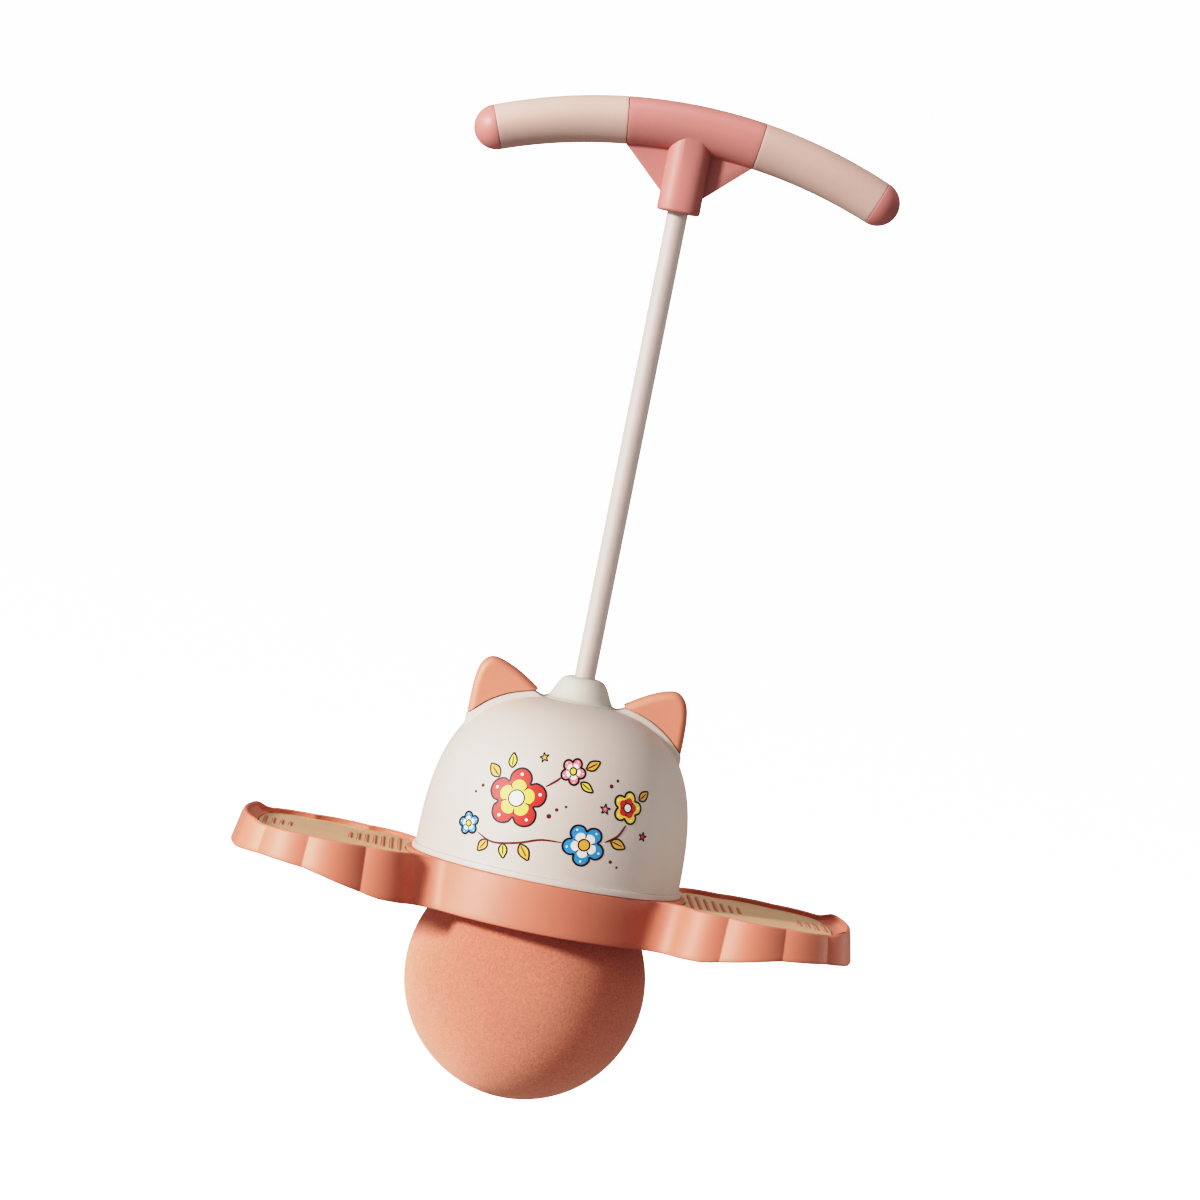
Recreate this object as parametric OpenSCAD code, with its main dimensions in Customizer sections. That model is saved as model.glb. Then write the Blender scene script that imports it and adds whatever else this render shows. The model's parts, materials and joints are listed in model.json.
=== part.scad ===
// Pogo ball with a pull handle: a two-lobed jumping ball clamped in a winged
// foot platform, an eared dome over the upper lobe, a flexible sprung rod and
// a curved two-hand bar. Millimetres, +Z up the rod, X along the wings, -Y to
// the front, origin on the floor under the ball.

/* [Ball] */
// Diameter of the lower lobe that meets the floor
ball_d = 160; // [152:1:160]
// Thickness of the inflated skin
skin_t = 2.6; // [2:0.1:4]

/* [Platform] */
// Height of the rim of the foot wings above the floor
rim_z = 153.4; // [153:0.1:154]
// Outward lean of the wing skirts from rim to lower edge
flare = 7; // [4:0.5:9]
// Thickness of the skirts
wall_t = 3; // [2.4:0.1:3.4]
// Depth of the pads below the rim
pad_drop = 3.2; // [2.4:0.1:4]
// Rise of the toe stop at each wing end above the rim
lip_rise = 3.1; // [2:0.1:5]

/* [Foot pads] */
// Thickness of a pad
pad_t = 2.8; // [2:0.1:3]
// Width of a grip slot
slot_w = 2.2; // [1.4:0.1:3]
// Spacing of the grip slots
slot_pitch = 5.5; // [4.5:0.1:5.6]

/* [Dome] */
// Radius of the dome wall at its foot
dome_r = 88.8; // [86:0.1:89]
// Height of the dome above its foot
dome_h = 115.7; // [113:0.1:117]
// Squareness of the dome shoulder
dome_n = 2.85; // [2.4:0.05:3.2]
// Thickness of the dome wall
dome_t = 2.6; // [2:0.1:3.2]
// Front-to-back thickness of an ear
ear_t = 26; // [18:1:30]
// Height of the ear pedestals above the dome
ear_lift = 4; // [3:0.1:5]

/* [Rod] */
// Diameter of the rod sleeve
rod_d = 13.8; // [12:0.1:13.8]
// Wire thickness of the closed-coil core
coil_w = 2; // [1.6:0.2:2.4]

/* [Handle] */
// Height of the crown of the bar axis above the floor
bar_z = 652.6; // [648:0.2:660]
// Bending radius of the bar axis
bar_bend = 350; // [330:1:400]
// Diameter of the bar
bar_d = 31.2; // [30:0.2:33]
// Half angle of the centre section along the bend
mid_deg = 7.25; // [6.8:0.05:8]
// Half angle at which the grips end
grip_deg = 21.3; // [19:0.1:23]

/* [Hidden] */
$fn = 72;
gap = 0.15;
ball_c = ball_d / 2;
band_z = 120;
seat_z = 152.4;
pad_z = rim_z - pad_drop;
deck_top = pad_z - pad_t - 0.05;
deck_low = deck_top - 2.8;
neck_r = 66.2;
collar_r = 66.7;
dome_z = seat_z;
dome_top = dome_z + dome_h;
cap_z = dome_top - 1.1;
rod_r = rod_d / 2;
bore_r = rod_r - 2.3;
rod_z0 = cap_z + 3;
sock_r = 14.35;
sock_z = 596.4;
plug_z = 628;
bar_r = bar_d / 2;
tube_r = 10;
ridge = [0, 60, 120, 180, 240, 300];
ring_at = [30, 90, 150, 210, 270, 330];
// plan of one wing: round lobes along its edge, as x, y and radius at the rim
lobes = [[114, 54.5, 25], [140, 55, 31], [161.4, 51, 29.6], [175.4, 42.85, 26]];
// the creases between the lobes
creases = [[79.6, 57.2], [121, 78.6], [157.8, 80.4], [186.8, 66.2], [199.9, 51.5]];
tip_x = 205.2;
tip_r = 310;
peg_at = [[104, 64], [104, -64], [150, 68], [150, -68]];
valve_deg = -129;
// handle screws, as x and height
handle_hold = [[-10.2, 612], [10.2, 612], [-33, 637.2], [33, 637.2]];

// ---------------------------------------------------------------- shared

module both() { children(); mirror([1, 0, 0]) children(); }

module about(r, list) { for (a = list) rotate([0, 0, a]) translate([r, 0, 0]) children(); }

// pan-head screw, head seat at z = 0, shank upwards
module screw(d, len, head) {
    cylinder(h = len, d = d);
    difference() {
        translate([0, 0, -2]) cylinder(h = 2, d1 = head - 1, d2 = head);
        for (a = [0, 90]) rotate([0, 0, a]) translate([-head / 4, -0.4, -2.1]) cube([head / 2, 0.8, 1.2]);
    }
}

// ---------------------------------------------------------------- platform

function lean(z) = flare * (rim_z - z) / (rim_z - band_z);
function crease(i, inset) = let(p = creases[i], c = [125, 0], v = p - c) p - v / norm(v) * inset * 1.25;

// one wing (to +X) as a solid from z0 to z1, drawn in by inset
module wing(inset, z0, z1) {
    for (l = lobes, s = [-1, 1])
        translate([l[0], s * l[1], z0])
            cylinder(h = z1 - z0, r1 = l[2] - inset + lean(z0), r2 = l[2] - inset + lean(z1));
    intersection() {
        translate([tip_x - tip_r, 0, z0])
            cylinder(h = z1 - z0, r1 = tip_r - inset + lean(z0), r2 = tip_r - inset + lean(z1));
        translate([150, -51, z0]) cube([70, 102, z1 - z0]);
    }
    translate([0, 0, z0]) linear_extrude(height = z1 - z0)
        polygon([
            [60, -60], [60, 60], crease(0, inset), crease(1, inset), crease(2, inset), crease(3, inset),
            crease(4, inset), mirror_y(crease(4, inset)), mirror_y(crease(3, inset)),
            mirror_y(crease(2, inset)), mirror_y(crease(1, inset)), mirror_y(crease(0, inset))
        ]);
}
function mirror_y(p) = [p[0], -p[1]];

// toe stop inside the end of a wing: a hollow ramp that climbs from the pad to
// the lifted rim, turned about the centre of the tip arc; grow widens its foot
module toe_stop(grow) {
    top = rim_z + lip_rise + 1.2;
    foot = tip_r - 12.2;
    run = 8.2;
    translate([tip_x - tip_r, 0, 0]) rotate([0, 0, -18]) rotate_extrude(angle = 36, $fn = 180)
        polygon(concat(
            [[foot - grow, rim_z - 20]],
            [for (i = [0 : 8]) let(a = 90 * i / 8) [foot - grow + run * sin(a), pad_z + (top - pad_z) * (1 - cos(a))]],
            [[tip_r + 4, top], [tip_r + 4, rim_z - 20]]
        ));
}

// everything above the rim, which climbs towards the end of a wing
module above_rim() {
    rotate([90, 0, 0]) linear_extrude(height = 280, center = true)
        polygon([
            [0, rim_z], [186, rim_z], [199, rim_z + lip_rise], [230, rim_z + lip_rise], [230, 190], [0, 190]
        ]);
}

// everything above the swept-up lower edge of the platform
module above_edge(up) {
    rotate([90, 0, 0]) linear_extrude(height = 280, center = true)
        polygon([
            [-220, 134.6 + up], [-170, 134.3 + up], [-93, band_z + up], [93, band_z + up],
            [170, 134.3 + up], [220, 134.6 + up], [220, 190], [-220, 190]
        ]);
}

module band(inset, z0, z1) {
    translate([0, 0, z0]) cylinder(h = z1 - z0, r1 = 90.6 + 0.15 * (seat_z - z0) - inset, r2 = 90.6 + 0.15 * (seat_z - z1) - inset);
}

module platform_outer() {
    band(0, band_z - 2, seat_z);
    both() {
        difference() { wing(0, band_z - 2, rim_z + lip_rise + 2); above_rim(); }
    }
}

module platform_hollow() {
    band(wall_t, band_z - 4, deck_low);
    both() wing(wall_t, band_z - 4, deck_low);
}

module platform_ribs() {
    intersection() {
        union() {
            translate([0, 0, band_z]) cylinder(h = deck_low - band_z + 0.5, r = collar_r + 5);
            for (i = [0 : 15]) rotate([0, 0, i * 22.5 + 11.25]) translate([collar_r + 2, -1, band_z]) cube([90.6 - collar_r - 4, 2, deck_low - band_z + 0.5]);
            both() {
                for (x = [112, 136, 160, 184]) translate([x - 1, -112, band_z]) cube([2, 224, deck_low - band_z + 0.5]);
                for (y = [-52, -18, 18, 52]) translate([86, y - 1, band_z]) cube([128, 2, deck_low - band_z + 0.5]);
            }
            about(collar_r + 6, ring_at) translate([0, 0, band_z + 6]) cylinder(h = deck_low - band_z - 5, r = 3.8);
        }
        union() { band(wall_t - 0.5, band_z - 4, deck_low + 1); both() wing(wall_t - 0.5, band_z - 4, deck_low + 1); }
        above_edge(1.5);
    }
}

module platform_body() {
    difference() {
        union() {
            intersection() {
                difference() { platform_outer(); platform_hollow(); }
                above_edge(0);
            }
            platform_ribs();
        }
        // seat of the dome and well for the ball ring
        translate([0, 0, seat_z]) cylinder(h = 20, r = 94.2);
        translate([0, 0, deck_top]) cylinder(h = 20, r = 85.2);
        // pad beds
        both() difference() {
            wing(wall_t, deck_top, rim_z + 14);
            cylinder(h = 200, r = 94);
            toe_stop(0);
        }
        // passage of the ball neck, opening out below
        cylinder(h = 200, r = collar_r);
        translate([0, 0, band_z - 3]) cylinder(h = 9, r1 = collar_r + 5.85, r2 = collar_r);
        // screw and peg holes
        about(81.6, ridge) translate([0, 0, 100]) cylinder(h = 60, r = 1.9);
        about(collar_r + 6, ring_at) translate([0, 0, 128]) cylinder(h = 30, r = 1.45);
        both() for (p = peg_at) translate([p[0], p[1], 100]) cylinder(h = 60, r = 3.5);
        both() for (p = peg_at) translate([p[0], p[1], 100]) cylinder(h = deck_low - 100, r = 6.5);
    }
}

// round-ended bar along y, from just inside the deck up to z1
module slot_bar(x, y, len, w, z1) {
    translate([x - w / 2, y - len / 2, deck_top - 1]) cube([w, len, z1 - deck_top + 1]);
    for (s = [-1, 1]) translate([x, y + s * len / 2, deck_top - 1]) cylinder(h = z1 - deck_top + 1, d = w, $fn = 24);
}

// the pattern of grip slots in a pad, also that of the ribs that stand in them
module slot_pattern(w, z1) {
    for (i = [0 : 6]) slot_bar(98.6 + i * slot_pitch, 11.5, 82 - i * 7.7, w, z1);
    for (i = [0 : 3]) slot_bar(172.2 + i * 5.6, 6, [26, 30, 38, 44][i], w, z1);
}

module platform_frame() {
    color([0.86, 0.53, 0.42])
    union() {
        platform_body();
        both() slot_pattern(slot_w - 0.6, pad_z - 0.05);
    }
}

module foot_pad() {
    color([0.81, 0.71, 0.56])
    difference() {
        union() {
            difference() {
                wing(wall_t + 0.5, deck_top + 0.05, pad_z);
                cylinder(h = 200, r = 94.6);
                toe_stop(0.4);
            }
            for (p = peg_at) translate([p[0], p[1], deck_low + 0.1]) cylinder(h = pad_z - deck_low - 0.6, r = 3.2);
        }
        slot_pattern(slot_w, pad_z + 5);
        for (p = peg_at) translate([p[0], p[1], 100]) cylinder(h = pad_z - 1.2 - 100, r = 1.2);
    }
}
module foot_pad_left() { mirror([1, 0, 0]) foot_pad(); }
module foot_pad_right() { foot_pad(); }

module pad_screws() {
    color([0.7, 0.71, 0.73])
    both() for (p = peg_at) translate([p[0], p[1], deck_low - 0.05]) screw(2.36, 4.2, 10);
}

module ball_ring() {
    color([0.86, 0.53, 0.42])
    difference() {
        union() {
            translate([0, 0, deck_top + 0.05]) cylinder(h = 3, r = 77.6);
            translate([0, 0, deck_top + 0.05]) cylinder(h = 5.5, r = collar_r + 2.2);
        }
        cylinder(h = 200, r = collar_r);
        about(collar_r + 6, ring_at) translate([0, 0, 100]) cylinder(h = 100, r = 1.75);
    }
}

module ring_screws() {
    color([0.7, 0.71, 0.73])
    about(collar_r + 6, ring_at) translate([0, 0, deck_top + 3.1]) rotate([180, 0, 0]) screw(2.8, 16, 6);
}

// ---------------------------------------------------------------- ball

module lobe_profile(t) {
    difference() {
        union() {
            translate([0, ball_c]) circle(r = ball_c - t, $fn = 144);
            translate([0, ball_c]) square([neck_r - t, 162 - ball_c]);
            translate([35, 192]) circle(r = 44 - t, $fn = 96);
            translate([0, 160]) square([35, 32 + 44 - t]);
        }
        translate([-300, -10]) square([300, 400]);
    }
}

module at_valve() { translate([0, 0, ball_c]) rotate([valve_deg, 0, 0]) children(); }

module ball_bladder() {
    color([0.86, 0.54, 0.43])
    difference() {
        rotate_extrude($fn = 144) lobe_profile(0);
        rotate_extrude($fn = 144) lobe_profile(skin_t);
        at_valve() translate([0, 0, ball_c - 12]) cylinder(h = 20, r = 7.2);
    }
}

module valve_body() {
    color([0.8, 0.48, 0.38])
    intersection() {
        at_valve() difference() {
            union() {
                translate([0, 0, ball_c - 14]) cylinder(h = 14, r = 7.05);
                translate([0, 0, ball_c - skin_t - 3.2]) cylinder(h = 2.2, r = 10.5);
            }
            translate([0, 0, ball_c - 30]) cylinder(h = 40, r = 3.2);
            translate([0, 0, ball_c - 2.4]) cylinder(h = 10, r = 5.6);
        }
        translate([0, 0, ball_c]) sphere(r = ball_c - 0.1, $fn = 144);
    }
}

module valve_plug() {
    color([0.92, 0.86, 0.8])
    at_valve() difference() {
        union() {
            translate([0, 0, ball_c - 12]) cylinder(h = 11, r = 3.15);
            translate([0, 0, ball_c - 2.3]) cylinder(h = 1.8, r = 5.4);
        }
        translate([-3, 2.6, ball_c - 1.3]) cube([6, 1.2, 4]);
    }
}

// ---------------------------------------------------------------- dome

function dome_radius(q, out) = (dome_r + out) * pow(1 - pow(q, dome_n), 1 / dome_n);
// profile of the dome wall, moved out by out
module dome_profile(out) {
    polygon(concat(
        [[0, dome_z]],
        [for (i = [0 : 26]) let(q = sin(90 * i / 26)) [i == 26 ? 0 : dome_radius(q, out), dome_z + (dome_h + out) * q]]
    ));
}
module dome_solid(out) { rotate_extrude($fn = 120) dome_profile(out); }

// outline of an ear seen from the front, lower end inside the dome
module ear_outline(o) {
    polygon([
        [71.4 + o, 225], [71.9 + o, 246], [71.6 + o, 268], [70.6 + o, 275], [68.6 + o, 280.4], [65.6 + o * 0.7, 284 + o * 0.7],
        [61.6, 285.7 + o], [57.2, 285.4 + o], [50.8 - o * 0.5, 283.4 + o], [43.6 - o * 0.7, 280 + o * 0.7], [35.6 - o, 275.6],
        [27.4 - o, 269.8], [26.6 - o, 262], [26.6 - o, 225]
    ]);
}
module ear_prism(o) {
    rotate([90, 0, 0]) linear_extrude(height = ear_t + 2 * o, center = true) ear_outline(o);
}

ear_hold = [43.5, 58.5];

module ear() {
    color([0.89, 0.58, 0.47])
    difference() {
        ear_prism(0);
        dome_solid(ear_lift + gap);
        for (x = ear_hold) translate([x, 0, 200]) cylinder(h = 76, r = 1.3);
    }
}
module ear_left() { mirror([1, 0, 0]) ear(); }
module ear_right() { ear(); }

function ear_seat(x) = x < 50 ? 254.5 : 245;

module ear_screws() {
    color([0.7, 0.71, 0.73])
    both() for (x = ear_hold) translate([x, 0, ear_seat(x) - 0.05]) screw(2.5, 20, 6);
}

module dome_shell() {
    color([0.87, 0.84, 0.81])
    difference() {
        union() {
            difference() {
                union() {
                    dome_solid(0);
                    translate([0, 0, dome_z]) cylinder(h = 4, r1 = 90.6, r2 = 90.2);
                    both() intersection() { ear_prism(0.4); dome_solid(ear_lift); translate([0, 0, 300]) cube([400, 400, 130], center = true); }
                }
                translate([0, 0, -0.01]) dome_solid(-dome_t);
                translate([0, 0, dome_z - 1]) cylinder(h = 3, r = dome_r - dome_t);
            }
            // screw posts at the foot
            about(81.6, ridge) translate([0, 0, deck_top + 0.2]) cylinder(h = 18, r = 3.2);
            about(81.6, ridge) translate([2, -1, dome_z + 4]) cube([4.4, 2, 11]);
            // thickened crown and ear posts
            intersection() {
                union() {
                    translate([0, 0, cap_z - 6]) cylinder(h = 6, r = 20);
                    both() for (x = ear_hold) translate([x, 0, ear_seat(x)]) cylinder(h = 30, r = 4);
                }
                dome_solid(-0.5);
            }
        }
        // flat seat and bore for the rod foot
        translate([0, 0, cap_z]) cylinder(h = 60, r = 25.2);
        translate([0, 0, 230]) cylinder(h = 60, r = 4.15);
        about(81.6, ridge) translate([0, 0, 140]) cylinder(h = 25.5, r = 1.45);
        both() for (x = ear_hold) translate([x, 0, 200]) cylinder(h = 100, r = 1.6);
    }
}

module dome_screws() {
    color([0.7, 0.71, 0.73])
    about(81.6, ridge) translate([0, 0, deck_low - 0.05]) screw(2.8, 18, 6.4);
}

module rod_grommet() {
    color([0.87, 0.86, 0.83])
    translate([0, 0, cap_z])
    difference() {
        union() {
            translate([0, 0, 0.05]) cylinder(h = 1.6, r1 = 24.6, r2 = 21.4);
            translate([0, 0, 1.65]) cylinder(h = 4.4, r1 = 21.4, r2 = 18.2);
            translate([0, 0, 6.05]) cylinder(h = 4, r1 = 18.2, r2 = 15.7);
            translate([0, 0, 10.05]) cylinder(h = 4.1, r1 = 15.7, r2 = 12.6);
            translate([0, 0, 14.15]) cylinder(h = 2.5, r1 = 12.6, r2 = 8.4);
        }
        translate([0, 0, -1]) cylinder(h = 9.3, r = 9.4);
        cylinder(h = 40, r = rod_r + gap);
    }
}

// ---------------------------------------------------------------- rod

module rod_foot_stud() {
    color([0.7, 0.71, 0.73])
    translate([0, 0, cap_z])
    union() {
        difference() {
            translate([0, 0, 0.05]) cylinder(h = 7.9, r = 9.2);
            translate([0, 0, 2.9]) cylinder(h = 20, r = rod_r + 0.1);
        }
        translate([0, 0, -19]) cylinder(h = 20, r = 4);
        cylinder(h = 30, r = bore_r - coil_w - 0.25);
    }
}

module anchor_washer() {
    color([0.7, 0.71, 0.73])
    translate([0, 0, cap_z - 8.05])
    difference() { cylinder(h = 2, r = 16); translate([0, 0, -1]) cylinder(h = 4, r = 4.2); }
}

module anchor_nut() {
    color([0.62, 0.63, 0.65])
    translate([0, 0, cap_z - 14.9])
    difference() { cylinder(h = 6.8, r = 7.5, $fn = 6); translate([0, 0, -1]) cylinder(h = 9, r = 4.05); }
}

module pull_rod() {
    color([0.91, 0.87, 0.86])
    difference() {
        translate([0, 0, rod_z0]) cylinder(h = plug_z - 2 - rod_z0, r = rod_r);
        translate([0, 0, rod_z0 - 1]) cylinder(h = 400, r = bore_r);
    }
}

// closed-coil spring, drawn as its stack of turns
module rod_core() {
    turns = 172;
    pitch = (plug_z - 3 - rod_z0) / turns;
    color([0.6, 0.61, 0.63])
    translate([0, 0, rod_z0 + 0.1])
    rotate_extrude($fn = 48)
        polygon(concat(
            [[bore_r - 0.15 - coil_w, 0]],
            [for (i = [0 : turns - 1]) each [[bore_r - 0.55, i * pitch], [bore_r - 0.15, (i + 0.5) * pitch]]],
            [[bore_r - 0.55, turns * pitch], [bore_r - 0.15 - coil_w, turns * pitch]]
        ));
}

module rod_top_plug() {
    color([0.9, 0.89, 0.87])
    union() {
        translate([0, 0, plug_z]) cylinder(h = 6, r = 10.8);
        translate([0, 0, plug_z - 28]) cylinder(h = 29, r = bore_r - coil_w - 0.25);
    }
}

// ---------------------------------------------------------------- handle

// round bar along the bend from angle a0 to a1 (0 at the crown, + to +X)
module bent(r, a0, a1) {
    translate([0, 0, bar_z - bar_bend]) rotate([90, 0, 0]) rotate([0, 0, 90 - a1])
        rotate_extrude(angle = a1 - a0, $fn = 360) translate([bar_bend, 0]) circle(r = r, $fn = 72);
}

// children placed on the bar axis at angle a, +X along the bar outwards
module on_bar(a) { translate([0, 0, bar_z - bar_bend]) rotate([0, a, 0]) translate([0, 0, bar_bend]) children(); }

module handle_centre() {
    difference() {
        union() {
            bent(bar_r, -mid_deg, mid_deg);
            translate([0, 0, sock_z]) cylinder(h = bar_z - sock_z - 3, r = sock_r);
            rotate([90, 0, 0]) linear_extrude(height = 5, center = true)
                polygon([[-41.5, 639], [41.5, 639], [41.5, 635.2], [14, 608.6], [-14, 608.6], [-41.5, 635.2]]);
        }
        bent(tube_r + gap, -mid_deg - 2, mid_deg + 2);
        translate([0, 0, sock_z - 1]) cylinder(h = plug_z + 2 - sock_z, r = rod_r + gap);
        translate([0, 0, plug_z - 0.3]) cylinder(h = 6.6, r = 11.1);
        // screw holes from the rear
        for (p = handle_hold)
            translate([p[0], 0, p[1]]) rotate([90, 0, 0]) {
                translate([0, 0, -40]) cylinder(h = 46, r = 1.35);
                translate([0, 0, -40]) cylinder(h = 35, r = 2.9);
            }
    }
}

module handle_shell_front() {
    color([0.86, 0.55, 0.52])
    intersection() { handle_centre(); translate([-100, -60.03, 500]) cube([200, 60, 300]); }
}

module handle_shell_rear() {
    color([0.86, 0.55, 0.52])
    intersection() { handle_centre(); translate([-100, 0.03, 500]) cube([200, 60, 300]); }
}

module handle_core_tube() {
    color([0.7, 0.71, 0.73])
    difference() {
        bent(tube_r, -grip_deg + 0.1, grip_deg - 0.1);
        bent(tube_r - 1.5, -grip_deg - 1, grip_deg + 1);
    }
}

module grip() {
    color([0.9, 0.82, 0.77])
    difference() {
        bent(bar_r, mid_deg + 0.06, grip_deg);
        bent(tube_r + 0.05, mid_deg - 1, grip_deg + 1);
    }
}
module grip_left() { mirror([1, 0, 0]) grip(); }
module grip_right() { grip(); }

module end_cap() {
    color([0.87, 0.55, 0.51])
    difference() {
        on_bar(grip_deg + 0.06) {
            intersection() {
                sphere(r = bar_r);
                translate([0, -50, -50]) cube(100);
            }
            translate([-14, 0, 0]) rotate([0, 90, 0]) cylinder(h = 16, r = tube_r - 1.9);
        }
        on_bar(grip_deg) translate([-16, 0, 0]) rotate([0, 90, 0]) cylinder(h = 22, r = 4);
    }
}
module end_cap_left() { mirror([1, 0, 0]) end_cap(); }
module end_cap_right() { end_cap(); }

module handle_screws() {
    color([0.7, 0.71, 0.73])
    for (p = handle_hold)
        translate([p[0], 5.05, p[1]]) rotate([90, 0, 0]) screw(2.6, 10, 5.4);
}

// ---------------------------------------------------------------- nodes

handle_shell_front();
handle_shell_rear();
handle_core_tube();
grip_left();
grip_right();
end_cap_left();
end_cap_right();
handle_screws();
rod_top_plug();
pull_rod();
rod_core();
rod_foot_stud();
anchor_washer();
anchor_nut();
rod_grommet();
dome_shell();
ear_left();
ear_right();
ear_screws();
dome_screws();
platform_frame();
foot_pad_left();
foot_pad_right();
pad_screws();
ball_ring();
ring_screws();
ball_bladder();
valve_body();
valve_plug();
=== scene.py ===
import json
import math

import bmesh
import bpy
import numpy as np
from mathutils import Matrix, Vector, geometry

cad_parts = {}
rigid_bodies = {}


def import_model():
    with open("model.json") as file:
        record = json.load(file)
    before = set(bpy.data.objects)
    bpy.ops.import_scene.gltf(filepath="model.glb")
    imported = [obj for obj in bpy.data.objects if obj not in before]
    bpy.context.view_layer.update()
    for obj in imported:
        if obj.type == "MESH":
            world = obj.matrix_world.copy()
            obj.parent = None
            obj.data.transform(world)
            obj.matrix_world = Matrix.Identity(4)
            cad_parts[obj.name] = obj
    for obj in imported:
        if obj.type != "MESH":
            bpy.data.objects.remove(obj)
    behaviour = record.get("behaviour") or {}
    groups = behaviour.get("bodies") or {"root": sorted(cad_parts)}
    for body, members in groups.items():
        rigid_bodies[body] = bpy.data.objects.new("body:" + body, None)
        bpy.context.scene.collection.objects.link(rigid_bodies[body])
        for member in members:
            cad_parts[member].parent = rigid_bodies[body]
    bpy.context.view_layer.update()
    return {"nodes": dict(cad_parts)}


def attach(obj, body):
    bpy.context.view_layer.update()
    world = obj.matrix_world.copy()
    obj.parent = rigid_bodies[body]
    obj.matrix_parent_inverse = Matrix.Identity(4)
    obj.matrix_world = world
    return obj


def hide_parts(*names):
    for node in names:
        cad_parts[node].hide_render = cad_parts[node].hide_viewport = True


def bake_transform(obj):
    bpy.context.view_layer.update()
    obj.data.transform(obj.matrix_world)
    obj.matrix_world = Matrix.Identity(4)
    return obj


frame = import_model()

NODE = frame["nodes"]
MM = 0.001
SCENE = bpy.context.scene


# ------------------------------------------------------------------ mesh helpers


def holds(outline, p):
    """Whether a closed outline goes round the point p."""
    a, b = outline, np.roll(outline, -1, axis=0)
    cross = (a[:, 1] > p[1]) != (b[:, 1] > p[1])
    a, b = a[cross], b[cross]
    return int(np.count_nonzero(p[0] < a[:, 0] + (p[1] - a[:, 1]) / (b[:, 1] - a[:, 1]) * (b[:, 0] - a[:, 0]))) % 2 == 1


class Shell:
    """Vertices and faces of one closed piece, in millimetres."""

    def __init__(self):
        self.v = []
        self.f = []

    def loop(self, points):
        first = len(self.v)
        self.v.extend(tuple(float(c) for c in p) for p in points)
        return list(range(first, len(self.v)))

    def join(self, a, b, closed=True):
        n = len(a)
        for i in range(n if closed else n - 1):
            k = (i + 1) % n
            self.f.append((a[i], a[k], b[k], b[i]))

    def cap(self, loop, point):
        c = self.loop([point])[0]
        n = len(loop)
        for i in range(n):
            self.f.append((loop[i], loop[(i + 1) % n], c))

    def fill(self, outer, holes, plane=(0, 1)):
        """Flat fill between one outer loop and any number of hole loops."""
        ids, edges = [], []
        for ring in [outer, *holes]:
            base = len(ids)
            ids.extend(ring)
            edges.extend((base + i, base + (i + 1) % len(ring)) for i in range(len(ring)))
        flat = [Vector((self.v[i][plane[0]], self.v[i][plane[1]])) for i in ids]
        got = geometry.delaunay_2d_cdt(flat, edges, [], 1, 1e-5)
        back = [o[0] if o else None for o in got[3]]
        bounds = [np.array([[self.v[i][plane[0]], self.v[i][plane[1]]] for i in ring]) for ring in [outer, *holes]]
        for tri in got[2]:
            t = [back[i] for i in tri]
            if None not in t and len(set(t)) == 3:
                mid = np.mean([[flat[i][0], flat[i][1]] for i in t], axis=0)
                if sum(holds(ring, mid) for ring in bounds) == 1:
                    self.f.append(tuple(ids[i] for i in t))

    def piece(self, name, sharp=32, flip=True):
        mesh = bpy.data.meshes.new(name)
        mesh.from_pydata([(x * MM, y * MM, z * MM) for x, y, z in self.v], [], self.f)
        mesh.update()
        bm = bmesh.new()
        bm.from_mesh(mesh)
        bmesh.ops.remove_doubles(bm, verts=bm.verts, dist=1e-7)
        if flip:
            bmesh.ops.recalc_face_normals(bm, faces=bm.faces)
        bm.to_mesh(mesh)
        bm.free()
        ob = bpy.data.objects.new(name, mesh)
        SCENE.collection.objects.link(ob)
        soften(ob, sharp)
        return ob


def soften(ob, sharp=32):
    mesh = ob.data
    mesh.polygons.foreach_set("use_smooth", [True] * len(mesh.polygons))
    mesh.set_sharp_from_angle(angle=math.radians(sharp))
    mesh.update()


def boolean(ob, tool, operation, sharp=32):
    """ob joined with, or cut by, another closed piece, which is then removed."""
    m = ob.modifiers.new("cut", "BOOLEAN")
    m.operation = operation
    m.solver = "MANIFOLD"
    m.object = tool
    bpy.context.view_layer.update()
    dg = bpy.context.evaluated_depsgraph_get()
    made = bpy.data.meshes.new_from_object(ob.evaluated_get(dg))
    ob.modifiers.clear()
    old = ob.data
    if len(made.vertices) == len(old.vertices):
        raise ValueError("nothing came of joining " + tool.name + " with " + ob.name)
    ob.data = made
    made.name = ob.name
    bpy.data.meshes.remove(old)
    bpy.data.objects.remove(tool)
    soften(ob, sharp)
    return ob


def ring(r, z, n, c=(0.0, 0.0)):
    a = np.linspace(0, 2 * math.pi, n, endpoint=False)
    return np.column_stack([c[0] + r * np.cos(a), c[1] + r * np.sin(a), np.full(n, z)])


def lathe(name, profile, n=128, closed=False, sharp=32, angles=None):
    """Body of revolution from (radius, height) points; a zero radius is a pole."""
    s = Shell()
    a = np.linspace(0, 2 * math.pi, n, endpoint=False) if angles is None else np.asarray(angles)
    rows = []
    for r, z in profile:
        if r < 1e-6:
            rows.append(("pole", (0, 0, z)))
        else:
            rows.append(("ring", s.loop(np.column_stack([r * np.cos(a), r * np.sin(a), np.full(len(a), z)]))))
    pairs = list(zip(rows, rows[1:])) + ([(rows[-1], rows[0])] if closed else [])
    for (ka, va), (kb, vb) in pairs:
        if ka == "ring" and kb == "ring":
            s.join(va, vb)
        elif ka == "pole" and kb == "ring":
            s.cap(vb, va)
        elif ka == "ring" and kb == "pole":
            s.cap(va, vb)
    return s.piece(name, sharp)


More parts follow.
